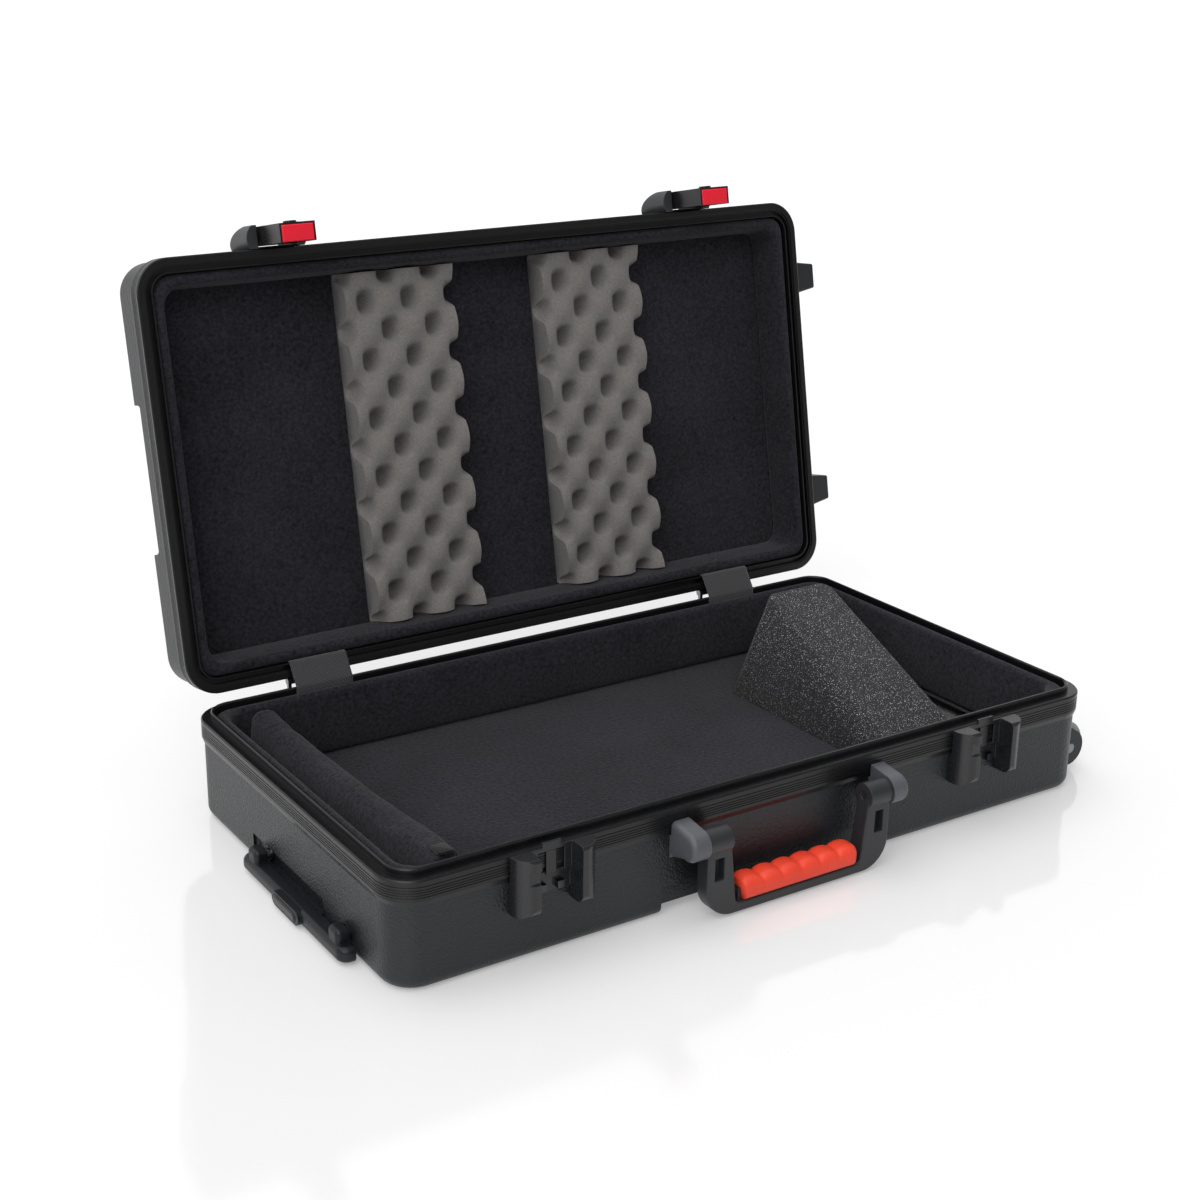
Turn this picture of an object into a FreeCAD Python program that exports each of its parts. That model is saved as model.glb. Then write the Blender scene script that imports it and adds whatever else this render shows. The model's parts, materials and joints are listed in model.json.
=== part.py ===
"""Wheeled hard case with a hinged lid, drop latches, carry handle and pull-out trolley handle.

Frame: X along the case (trolley handle at -X, wheels at +X), front with the latches at -Y,
hinges at +Y, Z up. The origin is on the floor under the middle of the base. The lid stands open.
"""
import FreeCAD
import Part
import math
import os

V = FreeCAD.Vector

# Outline of the closed case, over the aluminium rims
CASE_LENGTH = 660.0
CASE_WIDTH = 354.0
CORNER_RADIUS = 28.0
BASE_HEIGHT = 86.0
LID_HEIGHT = 54.0
LID_OPEN_ANGLE = 100.7

# Moulded shells
SHELL_SETBACK = 2.0
SHELL_WALL = 4.0
SHELL_EDGE_RADIUS = 9.0
CHANNEL_HALF_X = 108.0
CHANNEL_HALF_Y = 62.0
CHANNEL_DEPTH = 8.0
CHANNEL_LIP_RADIUS = 5.0
CENTRE_PAD_HALF_X = 60.0
CENTRE_PAD_HALF_Y = 36.0
CENTRE_PAD_RADIUS = 14.0
CENTRE_PAD_EDGE = 3.0
STRIP_INSET = 4.0
STRIP_LIP_RADIUS = 3.0
BASE_STRIP_HEIGHT = 24.5
LID_STRIP_HEIGHT = 20.0

# Aluminium rims
RIM_HEIGHT = 20.0
RIM_SKIN = 1.8
RIM_WEB = 3.0
RIM_CHAMFER = 1.0
RIM_TAPER = 1.4
RIM_TAPER_RISE = 4.2
RIB_COUNT = 4
RIB_PITCH = 1.9
RIB_DEPTH = 0.5
RIB_WIDTH = 1.0
RIB_SLOPE = 0.2
RIB_START = 6.6
TOP_GROOVE = 4.2
SHELL_SLOT_PLAY = 0.2
INNER_SKIRT_DEPTH = 14.0
TONGUE_START = 8.2
TONGUE_WIDTH = 3.0
TONGUE_HEIGHT = 5.0
TONGUE_EDGE = 1.0
TONGUE_ROOM = 1.0
TONGUE_SIDE_ROOM = 0.5
LIP_THICKNESS = 1.2
LID_SKIRT = 1.1
CLOSED_GAP = 0.25
FLANGE_THICKNESS = 1.5

# Hinges
HINGE_FROM_END = 116.0
HINGE_HALF_WIDTH = 28.0
HINGE_EAR = 3.0
HINGE_AXIS_OUT = 3.3
HINGE_AXIS_UP = 5.7
HINGE_KNUCKLE_RADIUS = 3.0
HINGE_PIN_RADIUS = 1.5
HINGE_LEAF = 1.5
HINGE_LEAF_LENGTH = 16.0
HINGE_SIDE_GAP = 0.3
RIVET_RADIUS = 2.6
RIVET_HEIGHT = 1.0
RIVET_SPACING = 17.0
RIVET_END = 6.0

# Padding
PAD_GAP = 0.3
FLOOR_TOP = 30.5
BASE_PAD_TOP = 10.0
BASE_PAD_FOOT = 12.5
LID_PAD_TOP = 10.0
LID_PAD_FOOT = 13.0
PAD_ROLL = 4.5
BASE_PAD_ABOVE_RIM = 1.0
LID_PAD_BELOW_RIM = 2.0
LID_PANEL_THICKNESS = 4.7

# Compartment divider
DIVIDER_FROM_END = 65.0
DIVIDER_FOOT = 25.0
DIVIDER_TOP = 20.0
DIVIDER_ABOVE_RIM = 1.0
DIVIDER_ROLL = 4.0
HOOK_TAPE_LENGTH = 14.0
HOOK_TAPE_THICKNESS = 1.6

# Convoluted foam strips in the lid
STRIP_CENTRES = {"left": -92.5, "right": 102.5}
STRIP_WIDTH = 105.0
STRIP_THICKNESS = 25.0
PIT_RADIUS = 12.0
PIT_RAISE = 3.0
PIT_PITCH = 42.0
PIT_ROW = 25.0

# Loose foam wedge
WEDGE_FROM_END = 101.0
WEDGE_FROM_FRONT = 70.0
WEDGE_FOOT = 148.0
WEDGE_TOP = 72.0
WEDGE_LENGTH = 172.0
WEDGE_BACK = 86.0
WEDGE_FRONT = 5.0
WEDGE_CORNER = 10.0

# Latches
LATCH_FROM_END = 124.0
LATCH_HALF_WIDTH = 33.5
LATCH_PLAY = 0.2
LATCH_CHANNEL = 17.0
LOBE_FLAT = 4.0
LOBE_BULGE = 3.9
CATCH_HEIGHT = 45.0
CATCH_DEPTH = 16.0
CATCH_CUT = 7.0
CATCH_BULGE = 1.6
CATCH_BROW = 2.0
CATCH_SHELF = 3.0
CATCH_TAB_HALF = 8.0
CATCH_TAB_HEIGHT = 4.0
CATCH_BACK = 1.0
CATCH_LEDGE = 1.5
CATCH_PLATE_BELOW = 2.0
CATCH_SLOT = 6.4
CATCH_SLOT_HEIGHT = 21.0
CATCH_BADGE = 10.0
CATCH_BADGE_DROP = 9.0
CATCH_BADGE_DEPTH = 1.6
POST_X = 7.5
POST_WIDTH = 6.0
POST_HEIGHT = 5.5
POST_LENGTH = 3.8
POST_GAP = 0.7
LATCH_PIVOT_OUT = 10.0
LATCH_PIVOT_UP = 14.0
LEVER_HUB_RADIUS = 7.8
LEVER_HALF_WIDTH = 15.5
LEVER_REACH = 42.0
LEVER_SKIN = 1.3
MOUNT_LENGTH = 39.0
MOUNT_HALF_WIDTH = 24.0
MOUNT_DEPTH = 19.0
MOUNT_UPRIGHT = 7.0
MOUNT_BULGE = 6.3
MOUNT_TAIL = 1.0
MOUNT_PLATE = 1.4
LATCH_PIN_RADIUS = 2.0
LATCH_PIN_PLAY = 0.06
LATCH_PIN_GRIP = 7.5
BUTTON_PLATE = 4.3
BUTTON_PROUD = 0.8
BUTTON_PLAY = 0.3
BUTTON_TRAVEL = 3.0
LOCK_RADIUS = 5.5
LOCK_PLAY = 0.08
LOCK_PROUD = 1.8
LOCK_BODY = 6.0
LOCK_GAP = 1.2
KEYWAY_LENGTH = 6.0
KEYWAY_WIDTH = 1.4

# Carry handle
HANDLE_PIVOT_OUT = 18.0
HANDLE_PIVOT_Z = 63.0
HANDLE_DROP = 61.0
BAIL_HALF_WIDTH = 86.5
BAIL_THICKNESS = 14.0
BAIL_ARM = 21.0
BAIL_ARM_FOOT = 27.0
BAIL_HUB_RADIUS = 10.0
BAIL_CORNER = 24.0
BAIL_BAND = 8.0
BAIL_INNER_CORNER = 4.0
BAIL_CORE_HALF = 3.0
BAIL_CORE_HEIGHT = 9.0
BAIL_EDGE = 1.5
BAIL_SLOT_WIDTH = 8.5
BAIL_SLOT_HEIGHT = 18.0
BAIL_SLOT_DROP = 12.0
BAIL_SLOT_DEPTH = 8.0
LUG_GAP = 0.6
LUG_WIDTH = 15.5
LUG_TOP_RISE = 14.0
LUG_FOOT_DROP = 15.0
LUG_NOSE = 11.5
LUG_NOSE_LOW = -105.0
LUG_NOSE_HIGH = 78.0
LUG_EDGE = 4.5
HANDLE_PIN_RADIUS = 3.0
HANDLE_PIN_PLAY = 0.05
HANDLE_PIN_DEPTH = 11.0
GRIP_HALF_LENGTH = 55.0
GRIP_BUMPS = 6
GRIP_BUMP_RADIUS = 10.6
GRIP_BAR_RADIUS = 9.0
GRIP_SINK = 1.0
GRIP_PLAY = 0.1

# Trolley handle
TROLLEY_Y = -32.0
TROLLEY_HALF_SPACING = 70.0
TROLLEY_TRAVEL = 340.0
TROLLEY_OVERLAP = 46.0
TROLLEY_BAR_HALF = 88.0
TROLLEY_BAR_DEPTH = 12.0
TROLLEY_BAR_LOW = 2.0
TROLLEY_BAR_HIGH = 14.0
TROLLEY_BAR_ROUND = 4.5
TROLLEY_BAR_CORNER = 9.0
TROLLEY_BAR_GAP = 2.5
TROLLEY_LUG_HALF = 8.0
TROLLEY_LUG_HIGH = 24.0
TROLLEY_LUG_SETBACK = 2.0
TROLLEY_LUG_ROUND = 4.0
LEDGE_LOW = 8.2
LEDGE_HIGH = 10.8
LEDGE_BAR_GAP = 0.6
LEDGE_ROOT = 9.0
SLEEVE_RADIUS = 5.2
SLEEVE_BORE = 4.4
SLEEVE_PLAY = 0.1
SLEEVE_FLOOR_GAP = 0.4
TUBE_RADIUS = 4.1
TUBE_BORE = 3.1
TUBE_SOCKET = 8.0
TUBE_PLAY = 0.05
TUBE_END_GAP = 4.0
BUSH_RADIUS = 6.6
BUSH_FLANGE = 1.4
END_BLOCK_LENGTH = 14.0
END_BLOCK_OVER = 9.0
TROLLEY_BOSS_LENGTH = 46.0
TROLLEY_BOSS_HEIGHT = 11.6
TROLLEY_BOSS_PROUD = 2.6
TROLLEY_BUTTON_LENGTH = 38.0
TROLLEY_BUTTON_HEIGHT = 7.6
TROLLEY_BUTTON_DEPTH = 6.0
TROLLEY_BUTTON_PLAY = 0.3
TROLLEY_BUTTON_TRAVEL = 2.5
TROLLEY_BUTTON_PROUD = 1.2
TROLLEY_BUTTON_ROUND = 2.4

# Wheels
WHEEL_FROM_SIDE = 41.5
WHEEL_OUT = 8.0
WHEEL_RADIUS = 21.5
WHEEL_GROUND_GAP = 1.0
WHEEL_WIDTH = 22.0
TYRE_DEPTH = 5.0
WHEEL_HUB_BORE = 3.06
AXLE_RADIUS = 3.0
AXLE_HEAD_RADIUS = 4.6
AXLE_HEAD = 1.6
CHEEK = 5.0
CHEEK_GAP = 0.5
CHEEK_RADIUS = 16.0
HOUSING_PLATE = 1.5
WELL_PLAY = 0.4
WELL_TOP_ROOM = 5.0
HUB_SPOKES = 5
HUB_POCKET_DEPTH = 5.5

# Feet on the lid's wheel end
FOOT_FROM_SIDE = 73.0
FOOT_ROOT_HALF = 15.5
FOOT_TIP_HALF = 11.5
FOOT_START = 9.0
FOOT_END = 42.0
FOOT_TIP_INSET = 4.0
FOOT_EDGE = 2.0

# Cloth covers over the hinges
FLAP_HALF_WIDTH = 26.0
FLAP_THICKNESS = 0.8
FLAP_ON_BASE = 2.0
FLAP_ON_LID = 2.0

# Places worked out from the sizes above
HALF_L = CASE_LENGTH / 2
HALF_W = CASE_WIDTH / 2
FRONT = -HALF_W
BACK = HALF_W
SHELL_X = HALF_L - SHELL_SETBACK
SHELL_Y = HALF_W - SHELL_SETBACK
SHELL_RADIUS = CORNER_RADIUS - SHELL_SETBACK
SHELL_INNER = SHELL_SETBACK + SHELL_WALL
INNER_SKIRT = SHELL_INNER + SHELL_SLOT_PLAY
TONGUE_END = TONGUE_START + TONGUE_WIDTH
LIP_START = TONGUE_END + TONGUE_SIDE_ROOM
LIP_END = LIP_START + LIP_THICKNESS
LID_GROOVE_DEPTH = TONGUE_HEIGHT + TONGUE_ROOM
HINGE_X = HALF_L - HINGE_FROM_END
HINGE_Y = BACK + HINGE_AXIS_OUT
HINGE_Z = BASE_HEIGHT + HINGE_AXIS_UP
BASE_PAD_START = TONGUE_END + PAD_GAP
LID_PAD_START = LIP_END + PAD_GAP
LID_INNER_TOP = LID_HEIGHT - CHANNEL_DEPTH - SHELL_WALL
LID_PANEL_FACE = LID_INNER_TOP - LID_PANEL_THICKNESS
BASE_PAD_HEIGHT = BASE_HEIGHT - FLOOR_TOP
DIVIDER_RIGHT = -HALF_L + DIVIDER_FROM_END
WEDGE_X = HALF_L - WEDGE_FROM_END
LATCH_X = HALF_L - LATCH_FROM_END
LATCH_SEAT = FRONT - LATCH_PLAY
SHELL_SEAT = -SHELL_Y - LATCH_PLAY
LATCH_PIVOT_Y = FRONT - LATCH_PIVOT_OUT
LATCH_PIVOT_Z = BASE_HEIGHT + LATCH_PIVOT_UP
LEVER_OUT_Y = LATCH_PIVOT_Y - LEVER_HUB_RADIUS
LEVER_IN_Y = LATCH_PIVOT_Y + LEVER_HUB_RADIUS
LEVER_END_Z = BASE_HEIGHT - LEVER_REACH
LATCH_STOP_Y = LEVER_IN_Y + LATCH_PLAY
BUTTON_ROOM_TOP = LEVER_END_Z + BUTTON_PLATE + BUTTON_TRAVEL
POST_LOW = BUTTON_ROOM_TOP + POST_GAP
LOCK_Z = BUTTON_ROOM_TOP + LOCK_GAP + LOCK_RADIUS
HANDLE_PIVOT_Y = FRONT - HANDLE_PIVOT_OUT
BAIL_BOTTOM = HANDLE_PIVOT_Z - HANDLE_DROP
GRIP_FOOT = BAIL_BOTTOM + BAIL_BAND
TROLLEY_BAR_IN = -SHELL_X - TROLLEY_BAR_GAP
TROLLEY_BAR_OUT = TROLLEY_BAR_IN - TROLLEY_BAR_DEPTH
TROLLEY_BAR_MID = (TROLLEY_BAR_LOW + TROLLEY_BAR_HIGH) / 2
TROLLEY_TUBE_Z = CHANNEL_DEPTH + SHELL_WALL + SLEEVE_FLOOR_GAP + SLEEVE_RADIUS
TUBE_YS = (TROLLEY_Y - TROLLEY_HALF_SPACING, TROLLEY_Y + TROLLEY_HALF_SPACING)
SLEEVE_START = -SHELL_X + STRIP_INSET
SLEEVE_END = SLEEVE_START + TROLLEY_TRAVEL + TROLLEY_OVERLAP
WHEEL_Y = HALF_W - WHEEL_FROM_SIDE
AXLE_X = HALF_L + WHEEL_OUT
AXLE_Z = WHEEL_RADIUS + WHEEL_GROUND_GAP
WELL_BACK = AXLE_X - WHEEL_RADIUS - WELL_PLAY - HOUSING_PLATE - WELL_PLAY
WELL_HALF = WHEEL_WIDTH / 2 + CHEEK_GAP + CHEEK + AXLE_HEAD + WELL_PLAY
WELL_TOP = AXLE_Z + WHEEL_RADIUS + WELL_TOP_ROOM
FOOT_Y = HALF_W - FOOT_FROM_SIDE
FOOT_OUT = AXLE_X + WHEEL_RADIUS

PARTS_FOLDER = "parts"

# How far cutters overshoot, and how near counts as the same place
OVERCUT = 1.0
NEAR = 0.01


def box(x0, x1, y0, y1, z0, z1):
    """A block between two corners."""
    return Part.makeBox(x1 - x0, y1 - y0, z1 - z0, V(x0, y0, z0))


def rod(radius, start, end):
    """A round bar from one point to another."""
    way = end - start
    return Part.makeCylinder(radius, way.Length, start, way)


def face_of(points):
    """A flat face through corner points."""
    return Part.Face(Part.makePolygon(list(points) + [points[0]]))


def fused(shapes):
    """One solid out of pieces that touch or overlap."""
    first, rest = shapes[0], shapes[1:]
    return first.multiFuse(rest).removeSplitter() if rest else first


def group(shapes):
    """Separate solids kept together as one group."""
    return Part.makeCompound(shapes)


def mirror_x(shape):
    return shape.mirror(V(0, 0, 0), V(1, 0, 0))


def mirror_y(shape):
    return shape.mirror(V(0, 0, 0), V(0, 1, 0))


def rounded_prism(half_x, half_y, radius, z0, z1):
    """An upright block whose four upright edges are rounded."""
    block = box(-half_x, half_x, -half_y, half_y, z0, z1)
    upright = [e for e in block.Edges if abs(e.Vertexes[0].Z - e.Vertexes[1].Z) > NEAR]
    return block.makeFillet(radius, upright)


def stadium(half_length, half_height, x0, x1, y, z):
    """A flat-sided oval, long along Y, standing out along X."""
    straight = half_length - half_height
    oval = box(x0, x1, y - straight, y + straight, z - half_height, z + half_height)
    ends = [rod(half_height, V(x0, y + s * straight, z), V(x1, y + s * straight, z)) for s in (-1, 1)]
    return fused([oval] + ends)


def edges_at(shape, test):
    """The edges whose middle passes a test."""
    return [e for e in shape.Edges if test(e.CenterOfMass)]


def swept_ring(profile):
    """A rim section carried round the case's rounded outline.

    The section's x is minus the distance in from the outer face, and its z is the height.
    """
    pieces = []
    for side in range(4):
        along_y = side % 2 == 0
        reach = HALF_L if along_y else HALF_W
        straight = (CASE_WIDTH if along_y else CASE_LENGTH) - 2 * CORNER_RADIUS
        angle = math.radians(90 * side)
        out = V(math.cos(angle), math.sin(angle), 0)
        way = V(-math.sin(angle), math.cos(angle), 0)
        start = profile.copy()
        start.rotate(V(0, 0, 0), V(0, 0, 1), 90 * side)
        start.translate(out * reach - way * (straight / 2))
        pieces.append(start.extrude(way * straight))
        end = start.copy()
        end.translate(way * straight)
        centre = out * (reach - CORNER_RADIUS) + way * (straight / 2)
        pieces.append(end.revolve(centre, V(0, 0, 1), 90))
    return fused(pieces)


def flared_slot(half, depth, lip, half_length, along_y):
    """A channel through the underside, with rounded lips at its mouth."""
    turn = lip * (1 - math.sqrt(0.5))
    edges = [
        Part.LineSegment(V(-half - lip, 0, -OVERCUT), V(-half - lip, 0, 0)),
        Part.Arc(V(-half - lip, 0, 0), V(-half - turn, 0, turn), V(-half, 0, lip)),
        Part.LineSegment(V(-half, 0, lip), V(-half, 0, depth)),
        Part.LineSegment(V(-half, 0, depth), V(half, 0, depth)),
        Part.LineSegment(V(half, 0, depth), V(half, 0, lip)),
        Part.Arc(V(half, 0, lip), V(half + turn, 0, turn), V(half + lip, 0, 0)),
        Part.LineSegment(V(half + lip, 0, 0), V(half + lip, 0, -OVERCUT)),
        Part.LineSegment(V(half + lip, 0, -OVERCUT), V(-half - lip, 0, -OVERCUT)),
    ]
    section = Part.Face(Part.Wire([e.toShape() for e in edges]))
    section.translate(V(0, -half_length, 0))
    slot = section.extrude(V(0, 2 * half_length, 0))
    if along_y:
        return slot
    slot.rotate(V(0, 0, 0), V(0, 0, 1), 90)
    return slot


def side_strips(half, wall, top, along_x):
    """Shallow insets low on two opposite walls, between the corner pads."""
    lip = STRIP_LIP_RADIUS
    reach = wall + lip
    strip = box(-half, half, -reach, -wall + STRIP_INSET, -OVERCUT, top)
    upright = edges_at(strip, lambda c: abs(c.y + wall - STRIP_INSET) < NEAR
                       and abs(abs(c.x) - half) < NEAR)
    strip = strip.makeFillet(lip, upright)
    pair = [strip, mirror_y(strip)]
    if not along_x:
        for piece in pair:
            piece.rotate(V(0, 0, 0), V(0, 0, 1), 90)
    return pair


def wheel_wells(grow):
    """The two pockets at the wheel end, grown by a wall where asked."""
    well = box(WELL_BACK - grow, HALF_L + OVERCUT, -WELL_HALF - grow, WELL_HALF + grow,
               -OVERCUT, WELL_TOP + grow)
    front = well.copy()
    front.translate(V(0, -WHEEL_Y, 0))
    well.translate(V(0, WHEEL_Y, 0))
    return [front, well]


def moulded_shell(height, strip_height, wells):
    """A moulded half: open upwards, standing on four corner pads with a cross of channels between."""
    top = height - RIM_WEB
    outer = rounded_prism(SHELL_X, SHELL_Y, SHELL_RADIUS, 0, top)
    outer = outer.makeFillet(SHELL_EDGE_RADIUS, edges_at(outer, lambda c: abs(c.z) < NEAR))
    cuts = [flared_slot(CHANNEL_HALF_X, CHANNEL_DEPTH, CHANNEL_LIP_RADIUS, HALF_W, True)]
    cuts.append(flared_slot(CHANNEL_HALF_Y, CHANNEL_DEPTH, CHANNEL_LIP_RADIUS, HALF_L, False))
    cuts += side_strips(CHANNEL_HALF_X, SHELL_Y, strip_height, True)
    cuts += side_strips(CHANNEL_HALF_Y, SHELL_X, strip_height, False)
    inner = rounded_prism(SHELL_X - SHELL_WALL, SHELL_Y - SHELL_WALL, SHELL_RADIUS - SHELL_WALL,
                          SHELL_WALL, top + OVERCUT)
    kept = floor_steps(strip_height, SHELL_WALL)
    if wells:
        cuts += wheel_wells(0)
        kept += wheel_wells(SHELL_WALL)
    hollow = inner.cut(fused(kept))
    return outer.cut(fused(cuts)).cut(hollow)


def floor_steps(strip_height, grow):
    """What the channels and insets leave standing inside the shell, grown by the wall."""
    ceiling = CHANNEL_DEPTH + grow
    ledge = strip_height + grow
    half_x = CHANNEL_HALF_X + grow
    half_y = CHANNEL_HALF_Y + grow
    inset = STRIP_INSET + grow
    return [
        box(-half_x, half_x, -HALF_W, HALF_W, -OVERCUT, ceiling),
        box(-HALF_L, HALF_L, -half_y, half_y, -OVERCUT, ceiling),
        box(-half_x, half_x, -HALF_W, -SHELL_Y + inset, -OVERCUT, ledge),
        box(-half_x, half_x, SHELL_Y - inset, HALF_W, -OVERCUT, ledge),
        box(-HALF_L, -SHELL_X + inset, -half_y, half_y, -OVERCUT, ledge),
        box(SHELL_X - inset, HALF_L, -half_y, half_y, -OVERCUT, ledge),
    ]


def rim_outer_face(sign):
    """Corner points down the ribbed outer face of a rim, from the parting edge to the shell."""
    points = [(RIM_CHAMFER, 0.0), (0.0, -RIM_CHAMFER)]
    starts = [TOP_GROOVE] + [RIB_START + k * RIB_PITCH for k in range(RIB_COUNT)]
    groove = [(0, 0), (RIB_DEPTH, RIB_SLOPE), (RIB_DEPTH, RIB_WIDTH - RIB_SLOPE), (0, RIB_WIDTH)]
    for start in starts:
        points += [(inward, -start - along) for inward, along in groove]
    points.append((0.0, -RIM_HEIGHT + RIM_TAPER_RISE))
    points.append((RIM_TAPER, -RIM_HEIGHT))
    return [(u, sign * v) for u, v in points]


def rim_face(points):
    """A rim section from (distance in, height) pairs."""
    return face_of([V(-u, 0, v) for u, v in points])


def base_rim():
    """Lower rim: ribbed skirt, slot for the shell's edge, and the tongue that the lid closes over."""
    tongue = TONGUE_HEIGHT
    soft = TONGUE_EDGE
    points = rim_outer_face(1)
    points += [(RIM_SKIN, -RIM_HEIGHT), (RIM_SKIN, -RIM_WEB), (INNER_SKIRT, -RIM_WEB)]
    points += [(INNER_SKIRT, -INNER_SKIRT_DEPTH), (TONGUE_START, -INNER_SKIRT_DEPTH)]
    points += [(TONGUE_START, -RIM_WEB), (TONGUE_END, -RIM_WEB)]
    points += [(TONGUE_END, tongue - soft), (TONGUE_END - soft, tongue)]
    points += [(TONGUE_START + soft, tongue), (TONGUE_START, tongue - soft), (TONGUE_START, 0.0)]
    ring = swept_ring(rim_face(points))
    ring.translate(V(0, 0, BASE_HEIGHT))
    return ring


def lid_rim():
    """Upper rim: the same skirt turned over, with a groove for the tongue and a thin inner lip."""
    low = CLOSED_GAP
    web = LID_GROOVE_DEPTH + FLANGE_THICKNESS
    inner = INNER_SKIRT + LID_SKIRT
    flange = SHELL_INNER - SHELL_SLOT_PLAY
    points = [(u, max(v, low)) for u, v in rim_outer_face(-1)]
    points += [(RIM_SKIN, RIM_HEIGHT), (RIM_SKIN, RIM_WEB), (INNER_SKIRT, RIM_WEB)]
    points += [(INNER_SKIRT, INNER_SKIRT_DEPTH), (inner, INNER_SKIRT_DEPTH), (inner, web), (LIP_END, web)]
    points += [(LIP_END, low), (LIP_START, low), (LIP_START, LID_GROOVE_DEPTH)]
    points += [(inner, LID_GROOVE_DEPTH), (inner, FLANGE_THICKNESS)]
    points += [(flange, FLANGE_THICKNESS), (flange, low)]
    ring = swept_ring(rim_face(points))
    ring.translate(V(0, 0, BASE_HEIGHT))
    return ring


def pad_ring(start, top_width, foot_width, height):
    """Padded wall lining: a rolled edge at the rim, widening towards its foot."""
    roll = PAD_ROLL
    lean = (foot_width - top_width) / height
    turn = roll * (1 - math.sqrt(0.5))
    inner_top = start + top_width
    edges = [
        Part.LineSegment(V(-start, 0, -height), V(-start, 0, -roll)),
        Part.Arc(V(-start, 0, -roll), V(-start - turn, 0, -turn), V(-start - roll, 0, 0)),
        Part.LineSegment(V(-start - roll, 0, 0), V(-inner_top + roll, 0, 0)),
        Part.Arc(V(-inner_top + roll, 0, 0), V(-inner_top + turn, 0, -turn), V(-inner_top, 0, -roll)),
        Part.LineSegment(V(-inner_top, 0, -roll), V(-inner_top - lean * (height - roll), 0, -height)),
        Part.LineSegment(V(-inner_top - lean * (height - roll), 0, -height), V(-start, 0, -height)),
    ]
    return swept_ring(Part.Face(Part.Wire([e.toShape() for e in edges])))


def base_wall_lining():
    """Plush-covered padding round the inside of the base."""
    ring = pad_ring(BASE_PAD_START, BASE_PAD_TOP, BASE_PAD_FOOT, BASE_PAD_HEIGHT + BASE_PAD_ABOVE_RIM)
    ring.translate(V(0, 0, BASE_HEIGHT + BASE_PAD_ABOVE_RIM))
    return ring.cut(fused(wheel_wells(SHELL_WALL + PAD_GAP)))


def lid_wall_lining():
    """Plush-covered padding round the inside of the lid."""
    ring = pad_ring(LID_PAD_START, LID_PAD_TOP, LID_PAD_FOOT, LID_PANEL_FACE - LID_PAD_BELOW_RIM)
    ring.rotate(V(0, 0, 0), V(1, 0, 0), 180)
    ring.translate(V(0, 0, BASE_HEIGHT + LID_PAD_BELOW_RIM))
    return ring


def inner_outline(z0, z1):
    """A block that fills the inside of a shell, a little clear of its walls."""
    inset = SHELL_INNER + PAD_GAP
    return rounded_prism(HALF_L - inset, HALF_W - inset, CORNER_RADIUS - inset, z0, z1)


def base_floor_pad():
    """Foam bed under the plush floor, fitted round the channels, tubes and wheel pockets."""
    bed = inner_outline(SHELL_WALL, FLOOR_TOP)
    hollows = floor_steps(BASE_STRIP_HEIGHT, SHELL_WALL) + wheel_wells(SHELL_WALL + PAD_GAP)
    reach = SLEEVE_RADIUS + PAD_GAP
    for y in TUBE_YS:
        hollows.append(box(-HALF_L, SLEEVE_END, y - reach, y + reach, 0, TROLLEY_TUBE_Z + reach))
    hollows.append(end_block_size(PAD_GAP))
    return bed.cut(fused(hollows))


def lid_back_panel():
    """Flat plush-covered panel against the inside of the lid, cut round the side insets."""
    panel = inner_outline(BASE_HEIGHT + LID_PANEL_FACE, BASE_HEIGHT + LID_INNER_TOP)
    return panel.cut(turned_over(fused(floor_steps(LID_STRIP_HEIGHT, SHELL_WALL + PAD_GAP))))


def turned_over(shape):
    """Turns a piece built floor down over onto the closed lid."""
    flipped = shape.copy()
    flipped.rotate(V(0, 0, 0), V(1, 0, 0), 180)
    flipped.translate(V(0, 0, BASE_HEIGHT + LID_HEIGHT))
    return flipped


def divider_pad():
    """Padded wall that closes off the accessory compartment."""
    half = HALF_W - BASE_PAD_START - BASE_PAD_FOOT - PAD_GAP
    left_foot = DIVIDER_RIGHT - DIVIDER_FOOT
    left_top = DIVIDER_RIGHT - DIVIDER_TOP
    top = BASE_HEIGHT + DIVIDER_ABOVE_RIM
    section = face_of([V(left_foot, -half, FLOOR_TOP), V(DIVIDER_RIGHT, -half, FLOOR_TOP),
                       V(DIVIDER_RIGHT, -half, top), V(left_top, -half, top)])
    wall = section.extrude(V(0, 2 * half, 0))
    rolled = edges_at(wall, lambda c: abs(c.z - top) < NEAR and abs(c.y) < NEAR)
    return wall.makeFillet(DIVIDER_ROLL, rolled)


def divider_hook_tape():
    """Hook tape over the front end of the divider."""
    half = HALF_W - BASE_PAD_START - BASE_PAD_FOOT - PAD_GAP
    top = BASE_HEIGHT + DIVIDER_ABOVE_RIM
    left = DIVIDER_RIGHT - DIVIDER_TOP + DIVIDER_ROLL
    right = DIVIDER_RIGHT - DIVIDER_ROLL
    return box(left, right, -half, -half + HOOK_TAPE_LENGTH, top, top + HOOK_TAPE_THICKNESS)


def foam_strip(centre):
    """Convoluted foam strip on the lid's panel: staggered pits in a thick pad."""
    half = HALF_W - LID_PAD_START - LID_PAD_FOOT - PAD_GAP
    back = BASE_HEIGHT + LID_PANEL_FACE
    front = back - STRIP_THICKNESS
    strip = box(centre - STRIP_WIDTH / 2, centre + STRIP_WIDTH / 2, -half, half, front, back)
    rows = int(2 * half / PIT_ROW)
    columns = math.ceil(STRIP_WIDTH / PIT_PITCH)
    pits = []
    for row in range(rows):
        y = (row - (rows - 1) / 2) * PIT_ROW
        shift = PIT_PITCH / 2 * (row % 2)
        for column in range(-columns, columns + 1):
            along = column * PIT_PITCH + shift
            if abs(along) < STRIP_WIDTH / 2 + PIT_RADIUS:
                pits.append(Part.makeSphere(PIT_RADIUS, V(centre + along, y, front - PIT_RAISE)))
    return strip.cut(group(pits))


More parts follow.
